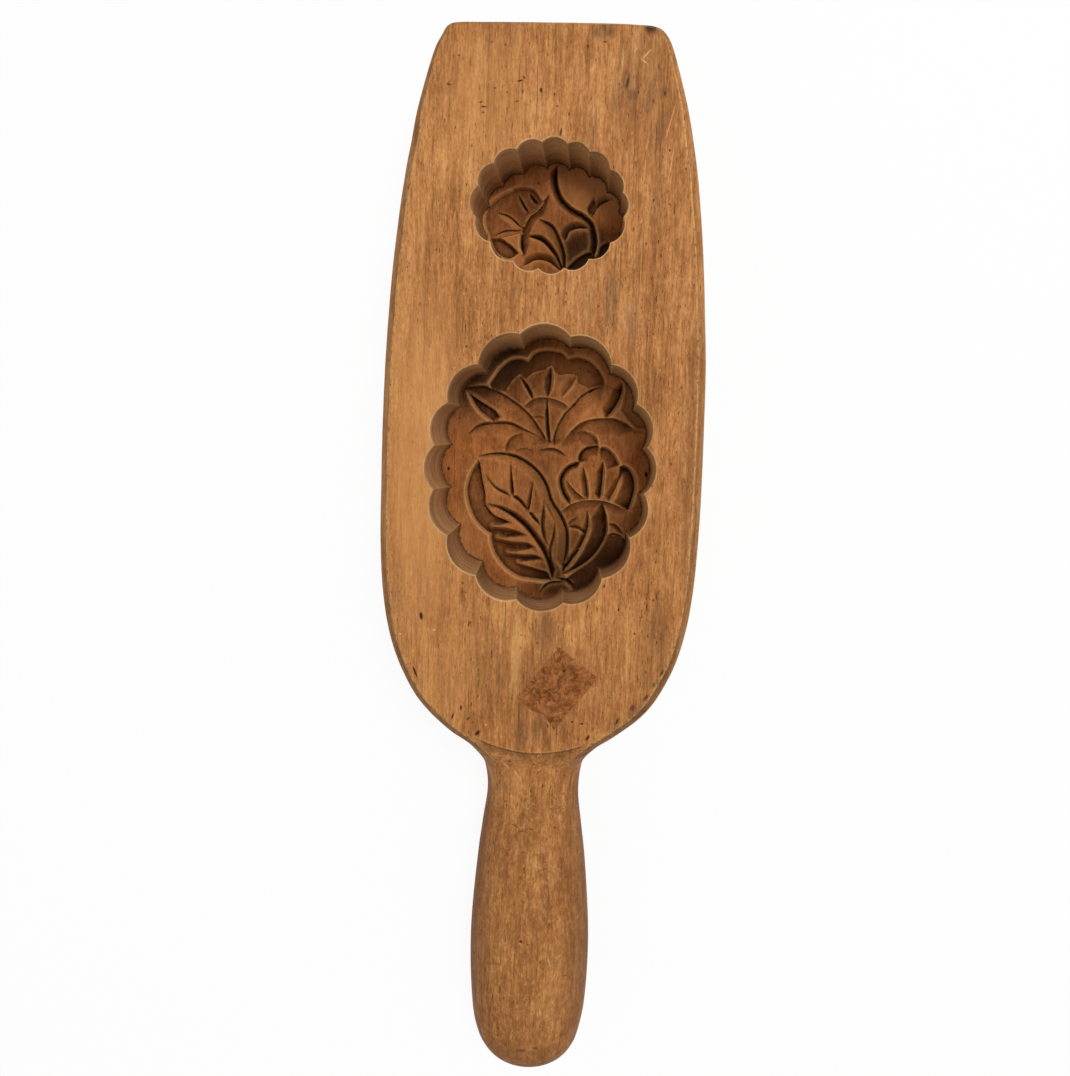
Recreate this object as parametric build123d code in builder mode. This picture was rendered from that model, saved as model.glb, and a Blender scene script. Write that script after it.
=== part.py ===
from build123d import *
import os

# Mooncake mold: one paddle carved from a single plank, and the remnant of a paper label pasted on it.
# Millimetres. It lies on its back with the carved face up. +Y runs to the flat top end, +X to the
# right of the face, and the origin is on the back, under the middle of the whole length.

# Board, as seen on its face. Each drop is measured down from the flat top end
board_length = 230.0
board_width = 103.8
board_thickness = 40.0
widest_drop = 143.5
top_width = 66.4
top_corner_radius = 7.0
upper_width = 86.6
upper_drop = 30.5
middle_width = 99.0
middle_drop = 78.5
shoulder_width = 98.2
shoulder_drop = 186.5
hip_width = 85.8
hip_drop = 204.5
heel_width = 58.4
heel_drop = 221.3
top_end_slope = 0.36
face_bevel = 2.7
back_bevel = 1.5

# Handle. Each reach is measured from the lower end of the board
handle_length = 116.6
handle_thickness = 38.0
root_width = 54.0
root_overlap = 8.5
flare_width = 36.0
flare_reach = 1.0
flare_slope = 0.6
neck_width = 32.4
neck_reach = 16.0
grip_width = 37.4
grip_reach = 41.0
swell_width = 41.6
swell_reach = 72.0
end_width = 39.4
end_round_length = 19.0

# Cake hollows: ovals of round scallops that meet in upright ridges
cavity_depth = 28.0
wall_inset = 0.5
scallop_count = 16
small_drop = 54.2
small_ridge_width = 46.0
small_ridge_length = 37.6
small_width = 48.5
small_length = 40.5
large_drop = 136.1
large_ridge_width = 68.0
large_ridge_length = 85.4
large_width = 72.9
large_length = 93.2

# Carving on the floors of the hollows
carving_depth = 4.0
carving_margin = 1.0

# Cuts of the large flower design: start, end and width of each, from the middle of the floor
large_cuts = [
    ((-12.6, 27.0), (-17.8, 33.5), 3.6),
    ((-8.6, 32.5), (-6.0, 37.0), 4.6),
    ((-4.7, 23.2), (-9.3, 30.8), 2.6),
    ((0.3, 25.0), (1.4, 34.6), 4.2),
    ((5.2, 24.5), (9.6, 31.5), 2.6),
    ((10.5, 32.5), (13.5, 36.5), 4.6),
    ((14.2, 28.4), (18.6, 32.0), 3.6),
    ((-7.0, 13.8), (-25.6, 22.6), 5.0),
    ((-4.0, 18.0), (1.2, 8.0), 2.6),
    ((6.6, 20.0), (3.2, 8.0), 2.6),
    ((8.0, 15.4), (23.0, 25.6), 5.4),
    ((10.4, 12.6), (28.6, 14.6), 3.6),
    ((-7.0, 10.4), (-24.0, 10.6), 3.6),
    ((-10.8, 3.6), (-10.4, -9.6), 4.0),
    ((-4.6, -0.6), (-5.6, -14.6), 3.2),
    ((0.6, -7.4), (-0.8, -18.6), 2.6),
    ((-19.6, -13.2), (-6.4, -21.2), 4.6),
    ((-5.4, -22.4), (3.6, -38.0), 4.6),
    ((-24.4, -4.0), (-22.6, -17.4), 4.2),
    ((-17.0, -22.6), (-13.6, -31.2), 3.6),
    ((-10.6, -30.8), (-4.4, -37.6), 3.6),
    ((3.0, -17.0), (4.2, -34.4), 3.4),
    ((6.8, -4.2), (14.0, -10.2), 3.4),
    ((12.8, 1.4), (16.0, -9.6), 3.8),
    ((18.8, 5.8), (19.4, -9.6), 5.2),
    ((25.6, 0.0), (22.6, -9.8), 4.2),
    ((29.6, -5.6), (25.4, -11.6), 3.6),
    ((15.6, -14.5), (7.4, -36.4), 4.4),
    ((20.8, -13.0), (19.0, -30.0), 3.4),
    ((22.4, -23.2), (28.0, -22.6), 3.4),
]

# Cuts of the small bud design
small_cuts = [
    ((-10.4, -1.2), (-19.6, 4.0), 3.8),
    ((-8.6, 3.2), (-12.6, 10.0), 4.2),
    ((-5.2, 6.6), (-7.4, 11.4), 3.6),
    ((-11.4, -10.0), (-20.4, -5.6), 4.2),
    ((-10.4, -6.0), (-4.4, 4.4), 3.0),
    ((0.6, 17.6), (-0.2, 8.6), 4.2),
    ((1.0, 7.0), (8.8, 2.6), 4.2),
    ((10.4, 1.4), (14.4, -9.6), 4.2),
    ((-4.8, 1.6), (3.6, -9.0), 3.4),
    ((-8.2, -4.4), (2.8, -13.0), 4.6),
    ((4.4, -4.6), (10.6, 0.2), 3.6),
    ((12.4, 3.4), (19.6, 8.2), 3.6),
    ((16.0, -2.0), (20.4, -6.4), 3.6),
]

# Paper label remnant on the face below the large hollow, a diamond with a torn lower left edge
label_thickness = 0.2
label_drop = 206.1
label_side = 7.2
label_outline = [
    (0.5, 13.8), (13.4, 4.3), (-0.4, -13.6), (-4.1, -8.4), (-7.6, -7.6), (-7.3, -6.6),
    (-11.9, -4.4), (-12.7, -3.8), (-9.8, 1.0), (-8.3, 2.5),
]

# Places worked out from the sizes above
top_y = (board_length + handle_length) / 2
board_end_y = top_y - board_length
tip_y = board_end_y - handle_length
handle_axis_z = board_thickness / 2
floor_z = board_thickness - cavity_depth
small_y = top_y - small_drop
large_y = top_y - large_drop
label_x = label_side
label_y = top_y - label_drop
small_oval = (small_ridge_width, small_ridge_length, small_width, small_length)
large_oval = (large_ridge_width, large_ridge_length, large_width, large_length)


def scalloped_oval(ridge_width, ridge_length, width, length, inset):
    """Outline of a hollow: arcs that swing out between ridge points spread evenly round an oval."""
    with BuildSketch() as outline:
        with BuildLine():
            ridge_oval = EllipticalCenterArc(
                (0, 0), ridge_width / 2 - inset, ridge_length / 2 - inset, arc_size=360, mode=Mode.PRIVATE
            )
            crest_oval = EllipticalCenterArc(
                (0, 0), width / 2 - inset, length / 2 - inset, arc_size=360, mode=Mode.PRIVATE
            )
            for scallop in range(scallop_count):
                start = (scallop - 0.5) / scallop_count % 1
                middle = scallop / scallop_count
                end = (scallop + 0.5) / scallop_count
                ThreePointArc(ridge_oval @ start, crest_oval @ middle, ridge_oval @ end)
        make_face()
    return outline.sketch


def carved_cuts(cuts, floor_limit):
    """Leaf-shaped cuts, each between two arcs from its start to its end, kept inside the floor."""
    with BuildSketch() as pattern:
        for start, end, width in cuts:
            with BuildLine():
                spine = Line(start, end, mode=Mode.PRIVATE)
                bulge = (spine % 0.5).rotate(Axis.Z, 90) * (width / 2)
                ThreePointArc(start, spine @ 0.5 + bulge, end)
                ThreePointArc(end, spine @ 0.5 - bulge, start)
            make_face()
        add(floor_limit, mode=Mode.INTERSECT)
    return pattern.sketch


# Outline of the board at its widest level
with BuildSketch() as board_plan:
    with BuildLine():
        top_edge = Line((0, top_y), (top_width / 2, top_y))
        side = Spline(
            top_edge @ 1,
            (upper_width / 2, top_y - upper_drop),
            (middle_width / 2, top_y - middle_drop),
            (board_width / 2, top_y - widest_drop),
            (shoulder_width / 2, top_y - shoulder_drop),
            (hip_width / 2, top_y - hip_drop),
            (heel_width / 2, top_y - heel_drop),
            (0, board_end_y),
            tangents=[(top_end_slope, -1), (-1, 0)],
            tangent_scalars=[1, 1],
        )
        Line(side @ 1, top_edge @ 0)
    make_face()
    mirror(about=Plane.YZ)
    top_corners = board_plan.vertices().group_by(Axis.Y)[-1].group_by(SortBy.DISTANCE)[-1]
    fillet(top_corners, radius=top_corner_radius)

# Rounded handle, turned round its own axis, pressed a little flatter, and kept below the board's bevels
with BuildPart() as handle_form:
    with BuildSketch() as half_profile:
        with BuildLine():
            root_line = Line((0, board_end_y + root_overlap), (root_width / 2, board_end_y + root_overlap))
            grip = Spline(
                root_line @ 1,
                (flare_width / 2, board_end_y - flare_reach),
                (neck_width / 2, board_end_y - neck_reach),
                (grip_width / 2, board_end_y - grip_reach),
                (swell_width / 2, board_end_y - swell_reach),
                (end_width / 2, tip_y + end_round_length),
                tangents=[(-1, -flare_slope), (0, -1)],
                tangent_scalars=[1, 1],
            )
            rounded_end = EllipticalCenterArc(
                (0, tip_y + end_round_length), end_width / 2, end_round_length, start_angle=0, arc_size=-90
            )
            Line(rounded_end @ 1, root_line @ 0)
        make_face()
    revolve(axis=Axis.Y)
    scale(by=(1, 1, handle_thickness / swell_width))
    with Locations((0, 0, -handle_axis_z)):
        Box(
            2 * board_width,
            2 * (board_length + handle_length),
            board_thickness - face_bevel,
            align=(Align.CENTER, Align.CENTER, Align.MIN),
            mode=Mode.INTERSECT,
        )

# Paddle: the bevelled board with its handle, the two hollows and their carved floors
with BuildPart() as mold_paddle:
    with BuildSketch():
        add(board_plan.sketch)
    extrude(amount=board_thickness)
    chamfer(mold_paddle.edges().group_by(Axis.Z)[-1], length=face_bevel)
    chamfer(mold_paddle.edges().group_by(Axis.Z)[0], length=back_bevel)
    with Locations((0, 0, handle_axis_z)):
        add(handle_form.part)
    for middle_y, oval, cuts in ((small_y, small_oval, small_cuts), (large_y, large_oval, large_cuts)):
        with BuildSketch(Plane((0, middle_y, board_thickness))):
            add(scalloped_oval(*oval, inset=0))
        with BuildSketch(Plane((0, middle_y, floor_z))):
            add(scalloped_oval(*oval, inset=wall_inset))
        loft(ruled=True, mode=Mode.SUBTRACT)
        with BuildSketch(Plane((0, middle_y, floor_z))):
            add(carved_cuts(cuts, scalloped_oval(*oval, inset=wall_inset + carving_margin)))
        extrude(amount=-carving_depth, mode=Mode.SUBTRACT)
mold_paddle.part.label = "mold_paddle"

# Label remnant, flat on the face
with BuildPart() as paper_label_remnant:
    with BuildSketch(Plane((label_x, label_y, board_thickness))):
        with BuildLine():
            Polyline(*label_outline, close=True)
        make_face()
    extrude(amount=label_thickness)
paper_label_remnant.part.label = "paper_label_remnant"

os.makedirs("parts", exist_ok=True)
export_step(mold_paddle.part, "parts/mold_paddle.step")
export_step(paper_label_remnant.part, "parts/paper_label_remnant.step")
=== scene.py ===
import math

import bpy
import numpy as np
from mathutils import Matrix, Vector, geometry, noise


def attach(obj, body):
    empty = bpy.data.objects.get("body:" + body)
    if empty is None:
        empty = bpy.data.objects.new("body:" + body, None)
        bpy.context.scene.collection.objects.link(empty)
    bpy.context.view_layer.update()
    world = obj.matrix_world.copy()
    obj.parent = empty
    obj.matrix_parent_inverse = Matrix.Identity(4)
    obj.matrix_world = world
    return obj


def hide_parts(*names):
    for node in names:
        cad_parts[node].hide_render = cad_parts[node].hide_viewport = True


# Mooncake mold: one carved paddle and the remnant of a paper label on its face. Sizes below are in
# millimetres, as in the CAD source, and meshes are turned to metres when they are made.

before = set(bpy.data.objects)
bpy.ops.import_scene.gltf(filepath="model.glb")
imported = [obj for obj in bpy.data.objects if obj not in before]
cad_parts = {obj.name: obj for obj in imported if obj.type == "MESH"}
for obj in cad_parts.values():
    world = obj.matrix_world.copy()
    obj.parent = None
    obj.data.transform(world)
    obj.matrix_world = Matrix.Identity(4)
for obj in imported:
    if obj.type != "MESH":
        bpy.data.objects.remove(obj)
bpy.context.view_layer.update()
MM = 0.001

# The lists measure y from a point this far below the middle of the whole length
MEASURED_FROM_Y = -1.2

# Sizes shared with the CAD source
BOARD_THICKNESS = 40.0
FLOOR_Z = 12.0
AXIS_Z = 20.0
HANDLE_FLATNESS = 38.0 / 41.6
LARGE_MIDDLE = (0.0, 38.5)
SMALL_MIDDLE = (0.5, 120.4)

# Outline of the whole paddle, anticlockwise from the right part of the top end
PADDLE_OUTLINE = [
    (20, 173.9), (0, 174.2), (-20, 174.3), (-29.4, 174.2), (-31.4, 173.7), (-33, 172.6), (-34.2, 170.8),
    (-35.9, 168), (-38, 162), (-41.4, 150), (-43.9, 138), (-45.9, 126), (-48.2, 108), (-49.8, 90),
    (-50.9, 72), (-51.5, 54), (-51.8, 32), (-51.8, 14), (-51, 0), (-49.3, -12), (-45.9, -24), (-39.7, -36),
    (-34.8, -42), (-31.6, -45), (-27.8, -48), (-23.7, -51.2), (-20.8, -54.5), (-19, -58), (-17.4, -63),
    (-16.3, -72), (-17.7, -84), (-19.1, -96), (-21.1, -126), (-20, -150), (-18.7, -158), (-16.6, -163.6),
    (-13.2, -168), (-8, -170.9), (0.3, -171.8), (8.6, -170.8), (14, -167.6), (16.8, -163.6), (18.6, -158),
    (19.9, -150), (20.6, -126), (18.3, -96), (16.7, -84), (15.3, -72), (16.1, -63), (17.8, -58),
    (19.5, -54.5), (22.3, -51.2), (26.3, -48), (30.2, -45), (33.8, -42), (39, -36), (45, -24), (48.3, -12),
    (50, 0), (50.9, 14), (51.3, 32), (51.2, 54), (50.9, 72), (49.8, 90), (48.4, 108), (46.4, 126),
    (44.5, 138), (41.9, 150), (38.4, 162), (36.3, 168), (34.9, 170.6), (33.4, 172.2), (30.8, 173.2),
    (26.1, 173.6),
]

# Ridge points between the scallops, anticlockwise, each from the middle of its hollow
LARGE_RIM = [
    (33.4, 8.5), (29.5, 22.1), (21.3, 34), (8.2, 42.2), (-7.6, 42.7), (-20.5, 33.1), (-29.9, 20.8),
    (-33.9, 7.3), (-33.9, -6.7), (-29.1, -21.2), (-19.9, -33.7), (-6.6, -41), (8.4, -41.7), (20.5, -33.3),
    (28.8, -20), (32.8, -6),
]
LARGE_FOOT = [
    (33.2, 7.7), (29.4, 20.6), (21.4, 32.9), (7.5, 41.4), (-8.2, 40.5), (-21.1, 32.4), (-29.8, 20.7),
    (-32.7, 7.5), (-32.9, -7.4), (-29.2, -20.5), (-21, -33.2), (-8.5, -41.9), (7.4, -42.3), (19.7, -34.2),
    (28.8, -21.6), (32.5, -7.9),
]
SMALL_RIM = [
    (22.2, 4.1), (18, 10.9), (11.6, 16), (4.9, 18.2), (-2.9, 18.7), (-10.6, 16.4), (-17.5, 12.3),
    (-22.2, 5.6), (-22.6, -3.8), (-18, -11.1), (-10.8, -16.6), (-2.9, -18.8), (4.9, -18.6), (12.5, -15.7),
    (18.9, -10.8), (22.7, -3),
]

# Lines of the large flower design that more than one cut follows
LEFT_LEAF_TOP = [
    (-28.2, 26.6), (-24, 27.2), (-20, 26.6), (-16, 25), (-13.6, 23.6), (-9.8, 21.1), (-6, 17.8),
    (-2.8, 13.6), (0.2, 8.9),
]
RIGHT_LEAF_TOP = [
    (19.4, 28.6), (15.1, 27), (11.8, 24.8), (9.5, 22), (6.8, 19.2), (4.5, 15.4), (3, 10.7), (2.9, 8.1),
]
FAN_RIM = [
    [(-19.9, 26.8), (-20.5, 28.1), (-18.6, 31.3), (-16.6, 34.2), (-12.8, 37.2), (-9.5, 37.7), (-7, 37)],
    [(-7, 37), (-5.1, 39.4), (-2.8, 40.4), (0.4, 40.7), (4.8, 40), (6.8, 38.1)],
    [(6.8, 38.1), (10.1, 38.7), (14.2, 37.6), (17.7, 34.5), (19.8, 31), (19.9, 29.2)],
]
CROWN_EDGE = [
    [(13.9, 27.2), (11.8, 28.4), (10.1, 28.9), (9.7, 31.8)],
    [(9.7, 31.8), (6.5, 31.9), (3.9, 31.6), (2.4, 32.5), (1, 34.8)],
    [(1, 34.8), (-1.3, 33.4), (-4.8, 32.2), (-7.8, 30.1), (-9.7, 31.5)],
    [(-9.7, 31.5), (-11.3, 30), (-12.9, 28.2), (-14.1, 25.3)],
]
LEAF_POCKET = [
    (0.9, 0.8, [(-23.4, 2.4), (-26, -1.8), (-27.5, -6.8), (-27.5, -9.8), (-26.3, -14.8), (-23.6, -19.8),
                (-20.1, -23), (-18.8, -23.7)]),
    (0.9, 0.8, [(-18.8, -23.7), (-18.8, -25.4), (-17.5, -29.8), (-13.9, -34.8), (-8.9, -38.3), (-3.9, -39.2),
                (1.9, -39.5), (3.6, -38.9)]),
    (1.4, 0, [(3.6, -38.9), (1.9, -35.9), (-1.6, -34.8), (-8.6, -33)]),
    (0.5, -0.6, [(-8.6, -33), (-4, -32.3), (0.6, -31.7)]),
    (1.7, -0.5, [(0.6, -31.7), (-1.9, -30.1), (-8.1, -29.9), (-12.2, -29.6)]),
    (0.5, -0.6, [(-12.2, -29.6), (-7, -28.8), (-2.2, -27.6)]),
    (1.7, -0.5, [(-2.2, -27.6), (-5.1, -25.8), (-11, -25.5), (-15.9, -24.6)]),
    (0.5, -0.6, [(-15.9, -24.6), (-10.5, -24.2), (-5.4, -23.4)]),
    (1.7, -0.5, [(-5.4, -23.4), (-7.8, -22.1), (-12.5, -20.9), (-17.9, -20.6)]),
    (0.5, -0.6, [(-17.9, -20.6), (-14.5, -20), (-11.1, -19)]),
    (0.5, -0.4, [(-11.1, -19), (-13.6, -18), (-16.9, -16.7), (-18.9, -14.8), (-20.2, -12.9)]),
    (0.5, -0.4, [(-20.2, -12.9), (-20.4, -9.2), (-21.4, -4.8), (-22.2, -0.4), (-22.9, 2.2), (-23.4, 2.4)]),
]

# Sunk pockets: depth, then the runs of the outline, each with the width of its sloping wall, the tone of
# that wall from -1 painted shade and grime to 1 painted highlight and wear, and its points. Their floors get
# painted shade
FAN_WALLS = [(0.9, 0.7, run) for run in FAN_RIM]
LARGE_POCKETS = [
    (1.1, FAN_WALLS + [(0.8, -0.6, RIGHT_LEAF_TOP), (0.8, -0.6, LEFT_LEAF_TOP[:1:-1])]),
    (1.9, FAN_WALLS + [(0.8, 0, [(19.9, 29.2), (13.9, 27.2)])] + [(0.7, 0, run) for run in CROWN_EDGE]),
    (2.6, [
        (1, 0.7, [(-18.4, 14.8), (-21.3, 16.9), (-23.4, 18.4), (-26, 21.9), (-27.9, 26)]),
        (0.6, -0.7, [(-27.9, 26), (-26, 24.6), (-23, 22.7), (-20.4, 21.2), (-17.6, 19.4), (-15.7, 16.9)]),
        (1.5, -0.4, [(-15.7, 16.9), (-18.4, 14.8)]),
    ]),
    (2.6, LEAF_POCKET),
    (0.9, [
        (0.9, 0.9, [(25.6, 31), (26.2, 28), (26.1, 25.4), (25.6, 22.5), (24.9, 20.4)]),
        (0.9, 0.9, [(24.9, 20.4), (27.2, 17.8), (30.4, 14.5)]),
        (0.9, 0, [(30.4, 14.5), (38, 15), (40, 26), (33, 36), (25.6, 31)]),
    ]),
    (1.5, [
        (1, -0.8, [(21.6, -22.6), (24.6, -22), (28.3, -23.2)]),
        (1, 0, [(28.3, -23.2), (36, -28), (27, -38), (14, -44), (7.6, -38.6)]),
        (0.8, 0.2, [(7.6, -38.6), (12.1, -34.8), (16.5, -31.3), (19.9, -26.8), (21.6, -22.6)]),
    ]),
]

# Scoops, each cut to a line: depth, width of its left and right slope, taper at its start and end, tone of
# its left and right slope from -1 painted shade and grime to 1 painted highlight and wear, points
LARGE_SCOOPS = [
    (2.5, 1.2, 5, 0.28, 0.06, -1, -0.05, LEFT_LEAF_TOP),
    (2.4, 4.6, 1.1, 0.1, 0.06, -0.1, -1, RIGHT_LEAF_TOP),
    (1.9, 1, 4.2, 0.22, 0.1, -0.9, 0.05,
     [(-26.9, 11), (-23.1, 13.9), (-18.4, 14.8), (-12.5, 14.8), (-7.8, 12.9), (-3.4, 11.3), (0, 8.6)]),
    (1.4, 0.8, 3.4, 0.2, 0.15, -0.7, -0.3,
     [(-13.8, 4.5), (-12.9, 8), (-10.8, 10.7), (-7, 11.9), (-4.6, 12)]),
    (2.3, 1.2, 3.2, 0.2, 0.15, 0.9, -0.9,
     [(25.4, 30.1), (25.4, 27.2), (23.7, 22.8), (21.5, 19.5), (20.1, 17.8)]),
    (2, 0.6, 5.2, 0.2, 0.12, 0.7, -0.6,
     [(5.4, 7.8), (8.2, 12.1), (12.4, 15.8), (16.6, 17.1), (20.1, 17.3), (23, 17.4), (27.2, 15.9),
      (30.2, 13.9)]),
    (1.8, 0.9, 4.5, 0.12, 0.15, 0.9, -0.7,
     [(9.6, 12), (12.1, 12.9), (15.3, 12.1), (16.9, 10.6), (18, 8.2)]),
    (2.5, 1.2, 3, 0.22, 0.05, -1, 0.2,
     [(-23.4, 3.4), (-18.4, 4.4), (-12.6, 4.1), (-8, 2.5), (-2.8, -1.3), (0.2, -5.6), (2.4, -11.5),
      (5.4, -15.9), (7.7, -20.9), (8.1, -26.8), (7.1, -34.5)]),
    (2.1, 1.7, 0.9, 0.08, 0.1, -1, 0.3, [(12, 2.6), (7.7, 0.5), (5.4, -3.3), (6.3, -8), (9, -12.1)]),
    (2.2, 0.8, 3, 0.08, 0.1, -1, -0.5, [(12, 2.4), (12.1, 4.8), (13.9, 7), (18.3, 8.1)]),
    (2.2, 1, 4, 0.06, 0.06, 0.9, -0.7, [(18.6, 7.3), (20.4, 7.2), (22.1, 6.2), (23.8, 4.2), (25, 1.6)]),
    (2.8, 1.1, 5.4, 0.06, 0.06, 0.9, -0.9,
     [(25.6, 1.4), (28.3, 0.6), (30.3, -2.4), (30.8, -6), (30.1, -9.8), (28.9, -13.6)]),
    (3, 0.8, 5.4, 0.15, 0.05, 0.7, -1,
     [(20.2, -11.4), (21.4, -16.8), (21.5, -22.1), (19.8, -26.5), (16.5, -30.9), (12.1, -34.2),
      (7.2, -36.5)]),
    (1.4, 0.6, 3, 0.25, 0.25, -0.9, -0.6, [(21.9, -22.8), (24.6, -22), (28, -23.2)]),
    (1, 0.5, 1.4, 0.25, 0.25, -0.3, -0.8, [(22.3, -18.4), (24.8, -18.8), (27.7, -22)]),
]

# Narrow cuts into whatever surface is there, with the same columns as the scoops
LARGE_VEINS = [
    (0.7, 0.35, 2.2, 0.1, 0.1, 0.6, -0.5,
     [(-8.2, 20.8), (-4.2, 23.7), (0.5, 24), (4.5, 22.9), (7.7, 20.9)]),
    (1.5, 0.6, 1, 0.35, 0.2, -0.3, -0.9, [(0, 24), (0.4, 16), (1.4, 8.4)]),
    (0.4, 0.3, 0.6, 0.3, 0.3, 0, -0.4, [(-5.6, 17.4), (-1.4, 17.6), (-0.4, 16)]),
    (1.5, 1.1, 0.5, 0.45, 0.25, -0.9, -0.6, [(-9.7, 31.5), (-7.2, 27.6), (-4.8, 23.4)]),
    (1.7, 1.2, 2.2, 0.35, 0.3, 0.8, -0.9, [(1.1, 34.8), (1, 29), (0.2, 24.3)]),
    (1.2, 1, 2.4, 0.3, 0.3, 0.8, -0.35, [(9.7, 31.8), (8.1, 28.9), (4.8, 24.4)]),
    (0.3, 0.3, 0.5, 0.3, 0.3, 0, -0.4, [(-10.9, 5), (-8.2, 6.6), (-4.8, 6.1), (-3.9, 5.4)]),
    (0.9, 0.4, 1.1, 0.3, 0.2, 0.4, -0.8, [(-2, 6.3), (2.4, 6.9), (5.6, 5.7), (7, 4.4)]),
    (2.3, 2.1, 0.45, 0.3, 0.08, -1, -0.6,
     [(-20.3, -12.8), (-15.6, -14.2), (-10.5, -17), (-6, -20.7), (-2.8, -24.5), (0, -28.5), (2.1, -33),
      (3.7, -38.3)]),
    (1.1, 1, 0.4, 0.7, 0.2, -0.9, 0.3, [(-20.7, -2.4), (-17.2, -7.1), (-11.6, -9.9)]),
    (1.6, 1.2, 0.4, 0.15, 0.3, -1, 0.2, [(-11, -9.8), (-8.6, -11.5), (-5.8, -14.6)]),
    (1.5, 1.1, 0.4, 0.15, 0.3, -1, 0.2, [(-5.2, -15.2), (-3.2, -17.6), (-1.1, -19.6)]),
    (1.6, 0.5, 1.1, 0.7, 0.1, -0.4, -0.9, [(-11.9, 2), (-11.4, -3.9), (-10.7, -9.8)]),
    (1.5, 0.4, 1.3, 0.6, 0.12, 0.2, -0.8, [(-3.9, -3.8), (-4.6, -10), (-5.4, -15.1)]),
    (1.3, 1.3, 0.5, 0.35, 0.3, -0.6, -0.9,
     [(0.2, -10.6), (-0.3, -15.1), (-0.5, -19.8), (0.5, -24.2), (1.9, -27)]),
    (0.6, 0.6, 0.35, 0.3, 0.3, -0.3, 0.6, [(0.5, -11.6), (2.2, -15), (3.8, -18)]),
    (1, 0.9, 0.5, 0.3, 0.25, -0.4, -0.9, [(4, -18.4), (3.6, -23.3), (2.5, -28.2), (3, -33.3)]),
    (1, 0.35, 2.6, 0.15, 0.15, 0.5, -0.6,
     [(5.6, -15.2), (9.3, -12.4), (13.9, -10.9), (20.1, -10.8), (25.4, -12.4), (29.2, -14.2)]),
    (1.3, 0.4, 2, 0.3, 0.2, 0.5, -0.7, [(7.4, -3.9), (10.6, -7.7), (14.3, -10.4)]),
    (1.7, 0.8, 1.8, 0.4, 0.15, 0.8, -0.8, [(13.1, 1.2), (14.4, -5), (15.1, -10.3)]),
    (2, 1.1, 2.1, 0.3, 0.12, 0.9, -1, [(19.9, 3.2), (19.7, -4), (19.1, -9.9)]),
    (1.5, 1.5, 1.9, 0.3, 0.12, 0.8, -0.6, [(26.4, -0.9), (24.5, -5.6), (22.1, -10.6)]),
    (1.9, 1.3, 1.7, 0.25, 0.08, 0.8, -0.9,
     [(15.1, -14), (15.3, -20), (12.7, -27.4), (9.8, -32.1), (7.1, -35.9)]),
    (0.6, 0.3, 1.2, 0.3, 0.3, 0.3, -0.5, [(8.1, -19.9), (9.6, -17.7), (11.8, -16.5)]),
    (0.9, 1.2, 0.4, 0.3, 0.2, -0.7, 0.4, [(8.1, -19.9), (12.1, -20.4), (14.9, -22.6)]),
    (1, 0.4, 0.8, 0.3, 0.3, 0.3, -0.7, [(-0.9, -43.6), (1.8, -40.1), (6.2, -39.2), (8.3, -39.8)]),
    (1.2, 0.5, 1.2, 0.3, 0.3, -0.4, -0.9, [(5.4, -37.9), (8.2, -38.4), (11.4, -40.4)]),
]

# Painted shade on a floor, or below 0 painted light: x, y, half width, half length, strength
LARGE_SHADE = [
    (23, -31, 15, 15, 0.95), (-18, 37, 15, 11, 1.3), (-27, 26, 10, 12, 0.85), (6, -40, 14, 8, 0.85),
    (-1, -2, 10, 28, 0.42), (28, 24, 9, 11, -0.55), (6, 24, 6, 8, -0.2), (-16, -4, 7, 12, -0.22),
    (-27, -26, 9, 16, -0.35), (22, -8, 9, 12, 0.2), (8, 40, 10, 6, -0.1), (6, -24, 8, 16, 0.3),
]

# Lines of the small bud design
BUD_LEFT = [
    (-1.7, 9.6), (-3.6, 7.3), (-5.6, 5), (-8.3, 2.9), (-9.6, 0.6), (-10.6, -3), (-10.8, -7), (-9.6, -10.8),
]
SMALL_POCKETS = [
    (1.5, [
        (1, 0.5, [(-21.6, -5.1), (-23.3, -1.2), (-23.7, 2), (-22.6, 5.7), (-18.9, 9.1), (-13.9, 11.6)]),
        (1, -0.4, [(-13.9, 11.6), (-10.8, 12.1), (-7.1, 11.5), (-5.8, 10.2), (-3.9, 7.6)]),
        (0.7, 0, BUD_LEFT[1:6]),
        (0.7, 0.3, [(-10.6, -3), (-16.1, -4.6), (-21.6, -5.1)]),
    ]),
    (2.4, [
        (0.8, -0.5, [(-21.6, -5), (-17.6, -4.8), (-15.3, -6.2), (-13.4, -7.5), (-11.3, -9.7)]),
        (0.7, 0.5,
         [(-11.3, -9.7), (-13.7, -11.4), (-15.5, -11.7), (-17.6, -10.9), (-19.7, -9.1), (-21.6, -5)]),
    ]),
    (2.6, [
        (0.8, -0.8, [(5, -13.8), (7.7, -11.2), (10.1, -9.6), (13.4, -8.2)]),
        (0.9, 0, [(13.4, -8.2), (14.4, -12), (10, -18), (4.4, -18), (5, -13.8)]),
    ]),
    (1.8, [
        (0.8, -0.8, [(12.2, 2.3), (11, 5.2), (11.6, 6.5), (13.4, 9.2)]),
        (0.8, 0.4, [(13.4, 9.2), (14.6, 6.6), (13.5, 4.6), (12.2, 2.3)]),
    ]),
    (1.6, [
        (1, -0.6, [(14.9, -9.6), (15.8, -7), (18.4, -5.4)]),
        (1, 0, [(18.4, -5.4), (24, -8), (18, -18), (12.6, -13), (14.9, -9.6)]),
    ]),
]
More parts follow.
